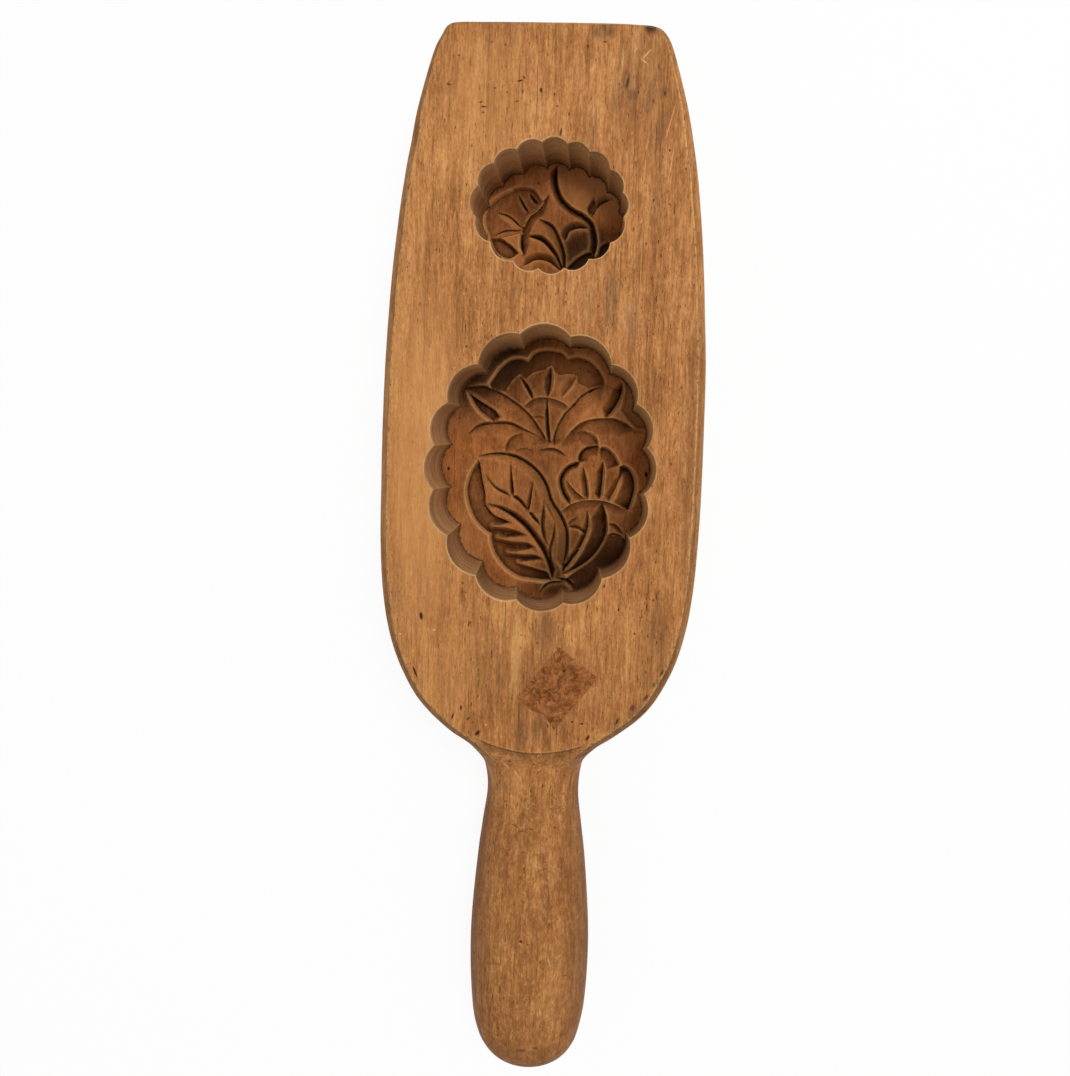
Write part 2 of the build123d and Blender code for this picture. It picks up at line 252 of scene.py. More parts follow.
SMALL_SCOOPS = [
    (2.3, 3, 0.6, 0.25, 0.15, -0.9, 0.8, BUD_LEFT),
    (2.7, 0.6, 2.2, 0.08, 0.06, 0.8, -1,
     [(0.7, 19.4), (0.5, 14.1), (2.2, 9.1), (5.8, 5.4), (9.8, 3.3), (12.7, 0.7), (14.1, -3), (14.4, -6.9),
      (13.2, -11.4)]),
    (2.1, 1, 2.8, 0.25, 0.05, -1, 0.1, [(-5.3, 1.7), (-0.8, -0.7), (1.9, -5.4), (3.5, -10.1), (3.6, -15)]),
    (2.6, 1.5, 0.7, 0.25, 0.08, -1, 0.2,
     [(-9.2, -3.9), (-4.2, -5), (-0.8, -7.9), (1.4, -10.8), (3.4, -15)]),
    (1.8, 2.2, 0.5, 0.15, 0.1, -0.6, 0.7, [(-9.9, -13.9), (-6, -11.6), (-1.5, -12), (3.2, -15.4)]),
    (1.8, 2.2, 0.6, 0.12, 0.2, -0.8, 0.4, [(3.9, -5.4), (5.1, -2.2), (8.2, -0.9), (12.2, -1.2)]),
    (1.6, 1.9, 0.5, 0.15, 0.25, -0.7, 0.3, [(12.5, 2.4), (14.5, 5.9), (16.6, 7.5), (19.6, 8.4)]),
]
SMALL_VEINS = [
    (1.3, 0.6, 0.5, 0.4, 0.25, -0.7, -0.9, [(-12.2, 9.6), (-10.8, 7), (-8.7, 3.8)]),
    (1.1, 0.4, 1.8, 0.3, 0.25, -0.8, 0.5, [(-19, 3.6), (-15.5, 2.7), (-10.8, -1)]),
    (0.8, 0.4, 1.6, 0.3, 0.25, -0.5, 0.3, [(-20, -3.8), (-16.3, -2.2), (-11.1, -2.1)]),
    (1.1, 0.5, 0.9, 0.25, 0.3, -0.3, -0.8, [(-8.4, 10.1), (-7.2, 8.7), (-5.4, 6.6)]),
]
# Painted shade on the small floor, or below 0 painted light, with the same columns
SMALL_SHADE = [
    (14.5, -11, 11, 9, 1.1), (6, -9, 10, 9, 0.55), (-8, 9, 14, 8, 0.45), (14, -2, 5, 6, 0.45),
    (14, 12, 11, 9, -1), (21, 4, 6, 7, -0.45), (4, 14, 6, 5, -0.45), (-13, -9, 9, 9, -0.3),
    (2, 0, 6, 6, 0.2),
]

# Soft spots: x, y, half width, half length, strength, and turn in degrees where a spot has one. Stains; the
# two long spots along the right edge, at x 47, and the broad one low on the face, at y -32, are painted shade
SMUDGES_AND_SHADE = [
    (20.3, 153, 3.5, 7, 0.65), (22.5, 157.4, 2.5, 6, 0.7), (24.5, 153.1, 3, 3, 0.8),
    (30.2, 153.1, 2.5, 9, 0.6, -8), (26.7, 157.4, 10, 22, 0.4, -8), (26.5, 163.2, 8, 14, 0.3),
    (15.4, 171.5, 5, 3, 0.85), (29.4, 172.4, 3, 3.4, 0.95, -10), (20.4, 92.8, 3, 14, 0.6),
    (13.3, 92.1, 3, 9, 0.4), (27.1, 86.3, 3, 13, 0.45), (32.8, 120, 3, 12, 0.4, -6),
    (33.3, 143, 3, 14, 0.4, -10), (3.4, -13.5, 5.6, 9, 0.55), (3.6, -20.4, 4.6, 8, 0.4),
    (-18.8, -23, 0.9, 16, 0.5), (-14.6, -21.2, 0.9, 15, 0.5), (-11.8, -29.4, 1, 14, 0.6),
    (-10.1, -19.4, 0.8, 13, 0.45), (-14.4, -26.2, 6, 18, 0.25), (-0.9, -46.2, 8, 7, 0.4),
    (-2.1, -47.6, 1, 5, 0.7, -8), (2.3, -42.7, 1, 5, 0.65, 8), (5.4, -48.9, 1, 4, 0.6),
    (38.8, -17.3, 6, 24, 0.4, -6), (34.5, -37.9, 5, 6, 0.55, -40), (27.6, -43.2, 7, 5, 0.4),
    (-45.3, -1.1, 3, 16, 0.3, 4), (-14.5, 168.7, 6, 9, 0.22), (-0.6, 110, 4, 8, 0.25),
    (12.2, 139.8, 3, 10, 0.25), (47.7, 37.4, 6, 40, 0.35), (47.3, 68.4, 5, 40, 0.25),
    (8.5, -31.8, 30, 16, 0.22),
]

# Small pits and dents
PITS = [
    (-37.3, -9.3, 0.8, 1.8, 1, 8), (-23.7, -39.2, 0.5, 1.2, 1), (-26.4, -42.1, 0.4, 1.5, 1, -15),
    (-21.3, -42.7, 0.4, 1, 0.9, -40), (-18.1, -47.4, 0.8, 1.5, 1, -35), (-3.1, 154.3, 0.6, 1, 1),
    (-20.4, 149.3, 1.3, 0.35, 1), (-21.4, 150.7, 0.8, 0.3, 0.9, 20), (-20.7, 147.7, 0.7, 0.3, 0.8),
    (-9.6, 157, 1.4, 0.35, 1, 12), (-8.4, 158, 0.35, 0.7, 0.9, 40), (-10.4, 151, 0.8, 0.3, 0.8),
    (-17.2, 154.8, 0.5, 0.4, 0.8), (-13.5, 153.6, 0.4, 0.35, 0.7), (1.9, 149.7, 0.5, 0.4, 0.9),
    (5.6, 147.4, 0.4, 0.9, 0.7), (3.3, 142.1, 0.45, 1.7, 0.9, -8), (-31.3, 155.8, 1, 0.4, 0.8),
    (15.8, 168.4, 1, 0.35, 0.8), (23, 156.8, 0.5, 2.3, 0.9, -8), (34.4, 153.7, 0.5, 1.2, 0.9),
    (31, 151.4, 0.4, 0.6, 0.8), (29.1, 172.4, 2, 1.8, 0.85, -10), (12.7, -42.2, 0.5, 0.4, 1),
    (15.9, -42.7, 0.7, 0.4, 1), (17.9, -47.3, 0.6, 1.5, 1, -30), (27.2, -41.5, 0.5, 1.6, 0.9, -25),
    (31.9, -36.7, 1.1, 1.5, 0.7, -30), (36.2, -33.1, 0.6, 1.8, 0.9, -35), (38.6, -28.8, 0.7, 1.1, 0.7),
    (41, -24.7, 0.5, 1.8, 1, -25), (-39, -27.9, 0.5, 2.8, 1, 22), (-28.4, 164.3, 0.8, 0.35, 0.6),
    (-7.7, -57.8, 0.7, 0.5, 1), (-0.4, -68.1, 0.4, 1.1, 0.9, -8), (3.5, -66.3, 0.4, 0.9, 0.9),
    (-8.9, -73, 0.8, 0.35, 0.8), (-8.6, -74.3, 0.35, 0.9, 0.7), (7.9, -81, 0.4, 0.8, 0.9),
    (-5.4, -80.4, 1.6, 0.3, 0.9, -20), (-3, -82, 1.4, 0.3, 0.8, 15), (0.3, -81.1, 0.9, 0.3, 0.9),
    (2.6, -82, 0.8, 0.3, 0.6, 30), (-2.4, -88.9, 0.7, 0.3, 0.8, 20), (-1.7, -94.4, 0.35, 0.8, 0.8),
    (-2, -119, 0.7, 0.7, 1), (7.2, -113.5, 0.4, 0.5, 0.8), (12.9, -132.3, 1.1, 0.35, 0.7),
    (4.9, -138.6, 0.4, 0.5, 0.7), (-14.3, -132.3, 0.5, 1.4, 0.7), (-8.7, -137.3, 0.8, 2.2, 0.5),
    (-0.6, -159.2, 1.6, 0.8, 0.8), (3.8, -158.1, 1, 0.6, 0.7),
]

# Paler areas of the face; the broad one down the left side, at x -38, is painted light
PALE_AREAS = [
    (-38, 40, 16, 70, 0.55), (-20, 150, 16, 26, 0.3), (-30, -30, 14, 24, 0.25, -20),
    (7, -96, 1.2, 10, 0.5, 4), (10, -130, 5, 22, 0.35, -4),
]

# Pale scratches
SCRATCHES = [
    (28.4, 164.9, 0.22, 2.5, 0.8, -45), (27.9, 162.8, 0.2, 1.5, 0.8, 49), (25.2, 166.3, 0.2, 1.6, 0.6, -27),
    (21.3, 164, 0.5, 5, 0.3), (-33, -13.7, 0.45, 0.45, 0.9), (-44.1, -15.5, 0.4, 0.4, 0.8),
    (-15.3, -44.5, 0.4, 0.4, 0.7), (-20.1, 148.3, 0.16, 27, 0.3), (36.5, 145.9, 0.2, 7, 0.5, -14),
    (37.3, 134.2, 0.3, 8, 0.3, -8), (29.6, -19.3, 0.5, 14, 0.25), (-6.1, -20.8, 2.4, 16, 0.25),
    (11.3, -73.8, 0.25, 1.5, 0.8, -25), (10.7, -75.9, 0.25, 0.9, 0.7, 60), (15.1, -76.7, 0.3, 1.3, 0.7, 30),
    (14.7, -85.7, 0.3, 1.8, 0.4, 10), (16.6, -113.5, 0.5, 1, 0.6), (7.6, -126.5, 0.25, 2.6, 0.5, 20),
    (9.1, -132.1, 0.22, 2, 0.5, -30), (0, -133.8, 0.5, 0.7, 0.6), (2.3, -140.8, 0.5, 0.8, 0.6),
    (-9, -59.8, 0.6, 3.2, 0.35, 40), (-5.3, -62.3, 0.6, 3.2, 0.35, 35), (5.1, -143.9, 0.4, 2.4, 0.4),
]

# Wormholes and dark nicks in the floors
WORMHOLES = [
    (10.4, 79.9, 0.5, 0.8, 1, 30), (12.9, 75.2, 0.4, 0.5, 1), (10.9, 73.2, 0.4, 0.5, 0.9),
    (13.9, 71.9, 0.4, 0.4, 0.9), (16.9, 72.5, 0.5, 0.5, 0.9), (30.4, 51.8, 0.4, 0.7, 1),
    (30.7, 25.9, 0.5, 0.7, 0.9), (-33.4, 37.5, 0.6, 0.9, 1), (34.8, 37.5, 0.7, 1.4, 1, 10),
    (9, 60.5, 0.6, 1.2, 1, -40), (15, 65.5, 0.6, 1.6, 1, -50), (7.3, 136.6, 0.4, 0.8, 1, -20),
    (6, 80.4, 0.6, 0.5, 0.8), (-30, 55, 0.4, 0.6, 0.7), (-9, -4.6, 0.5, 0.8, 0.9, -20),
]

# How the curves and cuts are drawn
CURVE_STEPS = 12
CUT_STEP = 0.8
LINE_STEP = 0.32
# Painted shade on the floors of the pockets
POCKET_FLOOR_TONE = -0.62
POCKET_FOOT = 0.75
EVEN_TONE = 0.75
ON_LINE = 0.03
RIM_INSET = 0.06
EDGE_INSET = 0.93


def catmull(points, closed):
    """Dense points on a centripetal Catmull-Rom curve through the given points."""
    p = np.asarray(points, float)
    if closed:
        p = np.vstack([p[-1], p, p[0], p[1]])
    else:
        p = np.vstack([2 * p[0] - p[1], p, 2 * p[-1] - p[-2]])
    knots = np.concatenate([[0.0], np.cumsum(np.sqrt(np.linalg.norm(np.diff(p, axis=0), axis=1)))])
    dense = []
    for i in range(1, len(p) - 2):
        t0, t1, t2, t3 = knots[i - 1:i + 3]
        t = np.linspace(t1, t2, CURVE_STEPS, endpoint=False)[:, None]
        row = p[i - 1:i + 3]
        for spans in ((t0, t1), (t1, t2), (t2, t3)), ((t0, t2), (t1, t3)), ((t1, t2),):
            pairs = zip(spans, row, row[1:])
            row = [(e - t) / (e - s) * a + (t - s) / (e - s) * b for (s, e), a, b in pairs]
        dense.append(row[0])
    dense.append(p[-2][None])
    return np.vstack(dense)


def smooth_curve(points, step, closed=False):
    """Evenly spaced points on a smooth curve; a closed one doesn't repeat its first point."""
    dense = catmull(points, closed)
    length = np.concatenate([[0.0], np.cumsum(np.linalg.norm(np.diff(dense, axis=0), axis=1))])
    count = max(2, int(round(length[-1] / step)))
    at = np.linspace(0.0, length[-1], count + 1)
    even = np.column_stack([np.interp(at, length, dense[:, k]) for k in range(2)])
    return even[:-1] if closed else even


def joined_runs(runs, step):
    """One closed outline from the smooth runs of a pocket, which meet at corners."""
    return np.vstack([smooth_curve(points, step)[:-1] for _, _, points in runs])


def clamp(values):
    return np.clip(values, 0.0, 1.0)


def unit(vectors):
    return vectors / np.linalg.norm(vectors, axis=1)[:, None]


def left_of(directions):
    return np.column_stack([-directions[:, 1], directions[:, 0]])


def ring_run(ring):
    """Directions along a closed ring, one for each point."""
    return unit(np.roll(ring, -1, axis=0) - np.roll(ring, 1, axis=0))


def inside(outline, q):
    """True for each point that lies within the closed outline."""
    result = np.zeros(len(q), bool)
    for (ax, ay), (bx, by) in zip(outline, np.roll(outline, -1, axis=0)):
        if ay == by:
            continue
        crosses = (ay > q[:, 1]) != (by > q[:, 1])
        result ^= crosses & (q[:, 0] < (bx - ax) * (q[:, 1] - ay) / (by - ay) + ax)
    return result


def nearest(path, q):
    """Distance of each point to the path, how far along the path it is, and whether it is to the left."""
    a = path[:-1]
    run = path[1:] - a
    run_length = np.linalg.norm(run, axis=1)
    gap = q[:, None] - a
    t = clamp((gap * run).sum(2) / run_length ** 2)
    gap = gap - t[..., None] * run
    squared = (gap ** 2).sum(2)
    k = squared.argmin(1)
    rows = np.arange(len(q))
    left = run[k, 0] * gap[rows, k, 1] - run[k, 1] * gap[rows, k, 0] > 0
    start = np.concatenate([[0.0], np.cumsum(run_length)])
    along = (start[k] + t[rows, k] * run_length[k]) / start[-1]
    return np.sqrt(squared[rows, k]), along, left


def near_box(points, q, reach):
    """Numbers of the points of q that lie in the box round the given points, widened by the reach."""
    low = points.min(0) - reach
    high = points.max(0) + reach
    return np.nonzero(((q > low) & (q < high)).all(1))[0]


def taper(along, start, end):
    """0 at both tips of a cut and 1 between them."""
    return clamp(np.minimum(along / start, (1.0 - along) / end)) ** 0.7


def cut_shape(cut, q):
    """How deep one scoop or vein is at each point, and the tone of its slope there: painted shade and grime
    below 0, painted highlight and wear above.
    """
    depth, left_width, right_width, start, end, left_tone, right_tone, points = cut
    path = smooth_curve(points, CUT_STEP)
    deep = np.zeros(len(q))
    tone = np.zeros(len(q))
    rows = near_box(path, q, max(left_width, right_width))
    gap, along, left = nearest(path, q[rows])
    fade = taper(along, start, end)
    width = np.where(left, left_width, right_width)
    share = fade * clamp(1.0 - gap / (width * np.maximum(fade, 0.15)))
    deep[rows] = depth * share
    slope_tone = np.where(left, left_tone, right_tone)
    slope_tone = np.where(gap < ON_LINE, min(left_tone, right_tone), slope_tone)
    tone[rows] = slope_tone * (EVEN_TONE * share ** 0.12 + (1 - EVEN_TONE) * share)
    return deep, tone


def pocket_shape(pocket, q):
    """How deep one pocket is at each point, and the tone of its wall or floor there: painted shade below 0,
    painted highlight above.
    """
    depth, runs = pocket
    outline = joined_runs(runs, CUT_STEP)
    deep = np.zeros(len(q))
    tone = np.zeros(len(q))
    rows = near_box(outline, q, 0.0)
    rows = rows[inside(outline, q[rows])]
    share = np.ones(len(rows))
    wall_tone = np.zeros(len(rows))
    for wall, run_tone, points in runs:
        gap = nearest(smooth_curve(points, CUT_STEP), q[rows])[0] / wall
        wall_tone = np.where(gap < share, run_tone, wall_tone)
        share = np.minimum(share, gap)
    deep[rows] = depth * share
    foot = clamp((share - POCKET_FOOT) / (1 - POCKET_FOOT))
    tone[rows] = wall_tone * (1 - foot) + POCKET_FLOOR_TONE * foot * min(1.0, depth / 2.0)
    return deep, tone


class Relief:
    """The carving on the floor of one hollow, with points measured from the middle of the hollow."""

    def __init__(self, pockets, scoops, veins, shades):
        self.pockets = pockets
        self.scoops = scoops
        self.veins = veins
        self.shades = shades

    def shape(self, q):
        """Height and tone of the floor, where tone is painted shade below 0 and painted highlight above. The
        deepest pocket or scoop counts, and veins cut into it.
        """
        depth = np.zeros(len(q))
        tone = np.zeros(len(q))
        sunk = [pocket_shape(p, q) for p in self.pockets] + [cut_shape(s, q) for s in self.scoops]
        for deep, cut_tone in sunk:
            tone = np.where(deep > depth, cut_tone, tone)
            depth = np.maximum(depth, deep)
        for deep, cut_tone in [cut_shape(vein, q) for vein in self.veins]:
            tone = np.where(cut_tone > 0, np.maximum(tone, cut_tone), tone + cut_tone)
            depth = depth + deep
        return -depth, np.clip(tone, -1.0, 1.0)

    def height(self, q):
        return self.shape(q)[0]

    def floor_z(self, q):
        """Height of the carved floor, with the small unevenness that the chisel left."""
        small = 0.13 * soft_noise(q, (4.0, 6.0), 41.0)
        broad = 0.25 * soft_noise(q, (22.0, 22.0), 43.0)
        return FLOOR_Z + (self.height(q) + small + broad)

    def shade(self, q):
        """How much painted shade, or below 0 painted light, the floor has at each point."""
        total = np.zeros(len(q))
        for x, y, half_width, half_length, strength in self.shades:
            across = (q[:, 0] - x) / half_width
            along = (q[:, 1] - y) / half_length
            total += strength * np.exp(-across ** 2 - along ** 2)
        return np.clip(total, -1.0, 1.0)

    def line_points(self, step):
        """Points along the lines of the design, so that the mesh follows its edges."""
        lines = []
        for _, runs in self.pockets:
            outline = joined_runs(runs, step)
            for wall, _, points in runs:
                path = smooth_curve(points, step)
                normal = left_of(unit(np.gradient(path, axis=0)))
                for offset in (RIM_INSET, -RIM_INSET, wall, -wall):
                    side = path + offset * normal
                    lines.append(side[inside(outline, side)])
        for _, left_width, right_width, start, end, _, _, points in self.scoops + self.veins:
            path = smooth_curve(points, step)
            normal = left_of(unit(np.gradient(path, axis=0)))
            fade = EDGE_INSET * taper(np.linspace(0.0, 1.0, len(path)), start, end)[:, None]
            lines.append(path)
            lines.append((path + normal * fade * left_width)[1:-1])
            lines.append((path - normal * fade * right_width)[1:-1])
        return np.vstack(lines)


def thinned(points, kept, spacing):
    """The points that keep the spacing from the kept ones and from each other, in their order."""
    cells = {}
    result = []

    def cell(p):
        return int(math.floor(p[0] / spacing)), int(math.floor(p[1] / spacing))

    def crowded(p):
        i, j = cell(p)
        around = [(i + di, j + dj) for di in (-1, 0, 1) for dj in (-1, 0, 1)]
        near = [r for place in around for r in cells.get(place, ())]
        return any((r[0] - p[0]) ** 2 + (r[1] - p[1]) ** 2 < spacing ** 2 for r in near)

    for p in kept:
        cells.setdefault(cell(p), []).append(p)
    for p in points:
        if not crowded(p):
            cells.setdefault(cell(p), []).append(p)
            result.append(p)
    return np.array(result).reshape(-1, 2)


def lattice(border, step):
    """Points of a triangular grid over the rectangle round the border."""
    low, high = border.min(0), border.max(0)
    rows = []
    for j, y in enumerate(np.arange(low[1], high[1], step * math.sqrt(3) / 2)):
        x = np.arange(low[0] + (j % 2) * step / 2, high[0], step)
        rows.append(np.column_stack([x, np.full(len(x), y)]))
    return np.vstack(rows)


def soft_noise(q, size, seed):
    """Smooth noise, about -1 to 1, with bumps of the given size in each direction."""
    return np.array([noise.noise(Vector((p[0] / size[0] + seed, p[1] / size[1], seed))) for p in q])


def at_height(q, z):
    return np.column_stack([q, np.broadcast_to(z, len(q))])


# Material slots of the paddle
OUTSIDE, WALL, FLOOR = 0, 1, 2

SHARP_ANGLE = 22.0
WELD = 1e-6
MARKS = ("wear", "grime", "shade")


class Shell:
    """A mesh that grows ring by ring. Positions are in millimetres, and each point has three marks: how
    worn and pale it is with painted highlights, how grimy with painted shade, and how much painted shade, or
    below 0 painted light, it has."""

    def __init__(self):
        self.points = []
        self.faces = []
        self.slots = []
        self.marks = {name: [] for name in MARKS}

    def add(self, points, **marks):
        """Adds points and returns their numbers."""
        first = len(self.points)
        self.points.extend(map(tuple, points))
        for name in MARKS:
            self.marks[name].extend(np.broadcast_to(marks.get(name, 0.0), len(points)))
        return list(range(first, len(self.points)))

    def band(self, lower, upper, slot):
        """Quads between two closed rings of the same length; lower to upper turns outward faces."""
        count = len(lower)
        for i in range(count):
            j = (i + 1) % count
            self.faces.append((lower[i], lower[j], upper[j], upper[i]))
            self.slots.append(slot)

    def patch(self, loops, extra, heights, slot, upward=True, **marks):
        """Triangles inside the first loop and outside the others. loops are (numbers, xy) pairs."""
        numbers = []
        edges = []
        for loop, _ in loops:
            start, count = len(numbers), len(loop)
            edges += [(start + i, start + (i + 1) % count) for i in range(count)]
            numbers += loop
        numbers += self.add(at_height(extra, heights), **marks)
        flat = [Vector(p) for p in np.vstack([xy for _, xy in loops] + [extra])]
        out, _, triangles, origins, _, _ = geometry.delaunay_2d_cdt(flat, edges, [], 0, WELD)
        index = [numbers[o[0]] for o in origins]
        xy = np.array([tuple(v) for v in out])
        corners = np.array(triangles)
        middle = xy[corners].mean(1)
        keep = inside(loops[0][1], middle)
        for _, hole in loops[1:]:
            keep &= ~inside(hole, middle)
        for a, b, c in corners[keep]:
            ab = xy[b] - xy[a]
            ac = xy[c] - xy[a]
            turns_left = ab[0] * ac[1] - ab[1] * ac[0] > 0
            face = (index[a], index[b], index[c])
            self.faces.append(face if turns_left == upward else face[::-1])
            self.slots.append(slot)

    def build(self, name, materials):
        mesh = bpy.data.meshes.new(name)
        shift = Vector((0.0, MEASURED_FROM_Y, 0.0))
        mesh.from_pydata([(Vector(p) + shift) * MM for p in self.points], [], self.faces)
        for material in materials:
            mesh.materials.append(material)
        mesh.polygons.foreach_set("material_index", self.slots)
        mesh.polygons.foreach_set("use_smooth", [True] * len(self.faces))
        for mark, values in self.marks.items():
            attribute = mesh.attributes.new(mark, "FLOAT", "POINT")
            attribute.data.foreach_set("value", np.array(values, np.float32))
        mesh.validate()
        mesh.set_sharp_from_angle(angle=math.radians(SHARP_ANGLE))
        piece = bpy.data.objects.new(name, mesh)
        bpy.context.scene.collection.objects.link(piece)
        return piece


# Neck: the face ends in a shallow curve, y = FACE_END[0] + FACE_END[1] x^2, and runs down into the handle
FACE_END = (-53.2, 0.0125)
NECK_HALF_WIDTH = 21.0
NECK_LENGTH = 7.5
NECK_MIDDLE = 8.0
NECK_SIDE = 12.0
SHOULDER_LENGTH = 12.0
MAX_ROOT_RISE = 17.4
HANDLE_RADIUS = 18.0

# Bevels along the sides, at the corners of the top end and along it, and round the back
BEVEL = 3.0
CORNER_BEVEL = 1.6
END_BEVEL = 0.7
BACK_BEVEL = 1.5
BEVEL_WOBBLE = 0.10
# Painted shade on the bevel, towards the handle and all along the left side
BEVEL_SHADE = 0.46
LEFT_SHADE = 0.7

# Where the bevel narrows to the corners and to the end, and where its painted shade begins, as y and run
CORNERS = (140.0, 30.0)
END = (171.5, 2.0)
SHADED = (50.0, -70.0)

# Rings from the middle of the side to the flat: inset and drop in bevels, extra drop, turn in degrees round
# the handle, wear
SIDE_RINGS = [
    (0.00, 1.00, 10.0, 13, 0.0), (0.00, 1.00, 4.0, 20, 0.0), (0.02, 1.00, 1.0, 26, 0.0),
    (0.08, 0.96, 0.3, 31, 0.45), (0.20, 0.82, 0.0, 36, 0.2), (0.50, 0.50, 0.0, 42, 0.0),
    (0.80, 0.20, 0.0, 48, 0.0), (0.93, 0.07, 0.0, 53, 0.85), (1.05, 0.01, 0.0, 57, 0.2),
    (1.35, 0.0, 0.0, 62, 0.0),
]


def face_end(x):
    """Where the flat face stops above the handle."""
    return FACE_END[0] + FACE_END[1] * np.minimum(abs(x), NECK_HALF_WIDTH) ** 2


def handle_share(q):
    """0 on the board, 1 on the handle. It starts crisply in the middle of the neck, softly at its sides."""
    side = clamp((abs(q[:, 0]) - NECK_MIDDLE) / NECK_SIDE)
    t = clamp((face_end(q[:, 0]) - q[:, 1]) / (NECK_LENGTH + SHOULDER_LENGTH * side))
    return (1 - side) * (1.0 - (1.0 - t) ** 2) + side * t * t * (3.0 - 2.0 * t)


TOP_CORNERS_Y = 172
OUTLINE = smooth_curve(PADDLE_OUTLINE, 1.25, closed=True)
INWARD = left_of(ring_run(OUTLINE))
TIP = OUTLINE[:, 1].argmin()
SIDES = [half[half[:, 1] < TOP_CORNERS_Y] for half in (OUTLINE[TIP::-1], OUTLINE[TIP:])]


def handle_rise(q):
    """How far the rounded handle rises from its axis."""
    left, right = [np.interp(q[:, 1], half[:, 1], half[:, 0]) for half in SIDES]
    half_width = (right - left) / 2
    off_axis = (q[:, 0] - (left + right) / 2) / half_width
    highest = MAX_ROOT_RISE + np.clip(-80 - q[:, 1], 0.0, 10.0) * 0.2
    rise = np.minimum(HANDLE_FLATNESS * half_width, highest)
    return rise * np.sqrt(clamp(1.0 - off_axis ** 2))


def top_height(q):
    """Height of the face and of the top of the handle, away from the bevels."""
    share = handle_share(q)
    dents = 0.10 * soft_noise(q, (7.0, 16.0), 3.0) - 0.10
    face = BOARD_THICKNESS + 0.12 * (soft_noise(q, (24.0, 40.0), 8.0) - 1.0)
    return (1 - share) * face + share * (AXIS_Z + handle_rise(q) + dents)


def back_height(q):
    """Height of the back of the board and of the underside of the handle."""
    share = handle_share(q)
    dents = 0.10 * soft_noise(q, (7.0, 16.0), 5.0) + 0.10
    face = 0.14 * (soft_noise(q, (20.0, 50.0), 12.0) + 1.0)
    return (1 - share) * face + share * (AXIS_Z - handle_rise(q) + dents)


def reached(y, limits):
    """0 before a place along the paddle, and 1 from the end of its run."""
    start, run = limits
    return clamp((y - start) / run)


def side_ring(ring, bevel, z_of, flat_z, outward_z):
    """One ring of the side of the paddle, as points."""
    inset, drop, extra, turn, _ = ring
    share = handle_share(OUTLINE)
    handle_inset = HANDLE_RADIUS * (1 - math.cos(math.radians(turn)))
    plan = OUTLINE + INWARD * ((1 - share) * (inset * bevel) + share * handle_inset)[:, None]
    if drop == 0.0:
        return at_height(plan, z_of(plan))
    share = handle_share(plan)
    board_z = flat_z - outward_z * (drop * bevel + extra)
    handle_z = AXIS_Z + outward_z * handle_rise(plan)
    return at_height(plan, (1 - share) * board_z + share * handle_z)


def paddle_sides(shell):
    """Sides and bevels of the board and the handle. Returns the last ring at the face and at the back."""
    middle = shell.add(at_height(OUTLINE, AXIS_Z))
    wobble = 1.0 + BEVEL_WOBBLE * soft_noise(OUTLINE, (9.0, 9.0), 21.0)
    bevel = BEVEL + (CORNER_BEVEL - BEVEL) * reached(OUTLINE[:, 1], CORNERS)
    bevel = (bevel + (END_BEVEL - bevel) * reached(OUTLINE[:, 1], END)) * wobble
    last = []
    for side in ((bevel, top_height, BOARD_THICKNESS, 1.0), (BACK_BEVEL * wobble, back_height, 0.0, -1.0)):
        lower = middle
        for ring in SIDE_RINGS:
            points = side_ring(ring, *side)
            on_board = 1 - handle_share(points[:, :2])
            low = reached(points[:, 1], SHADED)
            shade = BEVEL_SHADE * np.where(points[:, 0] < 0, np.maximum(low, LEFT_SHADE), low) * (ring[0] < 1)
            upper = shell.add(points, wear=ring[4] * on_board, shade=shade * on_board)
            if side[1] is top_height:
                shell.band(lower, upper, OUTSIDE)
            else:
                shell.band(upper, lower, OUTSIDE)
            lower = upper
        last.append(lower)
    return last


# Rings of a rim: distance outside it, height, wear. Then the heights of the rings down the wall
RIM_RINGS = [(1.3, 40, 0), (0.45, 40, 0.05), (0.22, 39.93, 0.2), (0.05, 39.72, 0.38), (0, 39.3, 0.15)]
WALL_LEVELS = [37.0, 34.0, 31.0, 28.0, 25.0, 22.0, 19.0, 16.5, 14.5, 13.2, 12.6]
SCALLOP_BULGE = 0.23
SCALLOP_STEPS = 14
RIDGE_WEAR_WIDTH = 0.5
# The walls on this side of a hollow are painted lighter, most near the rim
LIT_WALL_SIDE = np.array([0.75, 0.66])
WALL_RIPPLE = 0.12
# Strength of the painted highlight and painted shade on the walls
WALL_HIGHLIGHT = 0.8
WALL_SHADE = 0.95
FLOOR_EDGE = 0.4
COARSE = 2.2
FLAT_DEPTH = 0.02

# Wear, and grime with painted shade, on a floor: cells of the grid, reach and strength of each, and how they
# count in the marks
CELL = 0.3
WORN = (0.55, 4.0)
SHELTERED = (1.1, 1.1)
EDGE_MARK = 0.5
DARK_TONE_MARK = 0.85


def scalloped(ridges):
    """Outline of a hollow, in outward arcs between its ridges, and how near each point is to a ridge."""
    share = (1 - np.cos(np.pi * np.arange(SCALLOP_STEPS) / SCALLOP_STEPS)) / 2
    half_turn = 2 * math.atan(2 * SCALLOP_BULGE)
    angle = (2 * share - 1) * half_turn
    arcs = []
    ridge = []
    for a, b in zip(ridges, ridges[1:] + ridges[:1]):
        a, b = np.array(a), np.array(b)
        chord = np.linalg.norm(b - a)
        radius = chord / 2 / math.sin(half_turn)
        out = np.array([b[1] - a[1], a[0] - b[0]]) / chord
        centre = (a + b) / 2 - out * radius * math.cos(half_turn)
        along = (b - a) / chord
        arcs.append(centre + radius * (np.cos(angle)[:, None] * out + np.sin(angle)[:, None] * along))
        ridge.append(clamp(1 - np.minimum(share, 1 - share) * chord / RIDGE_WEAR_WIDTH))
    return np.vstack(arcs), np.concatenate(ridge)


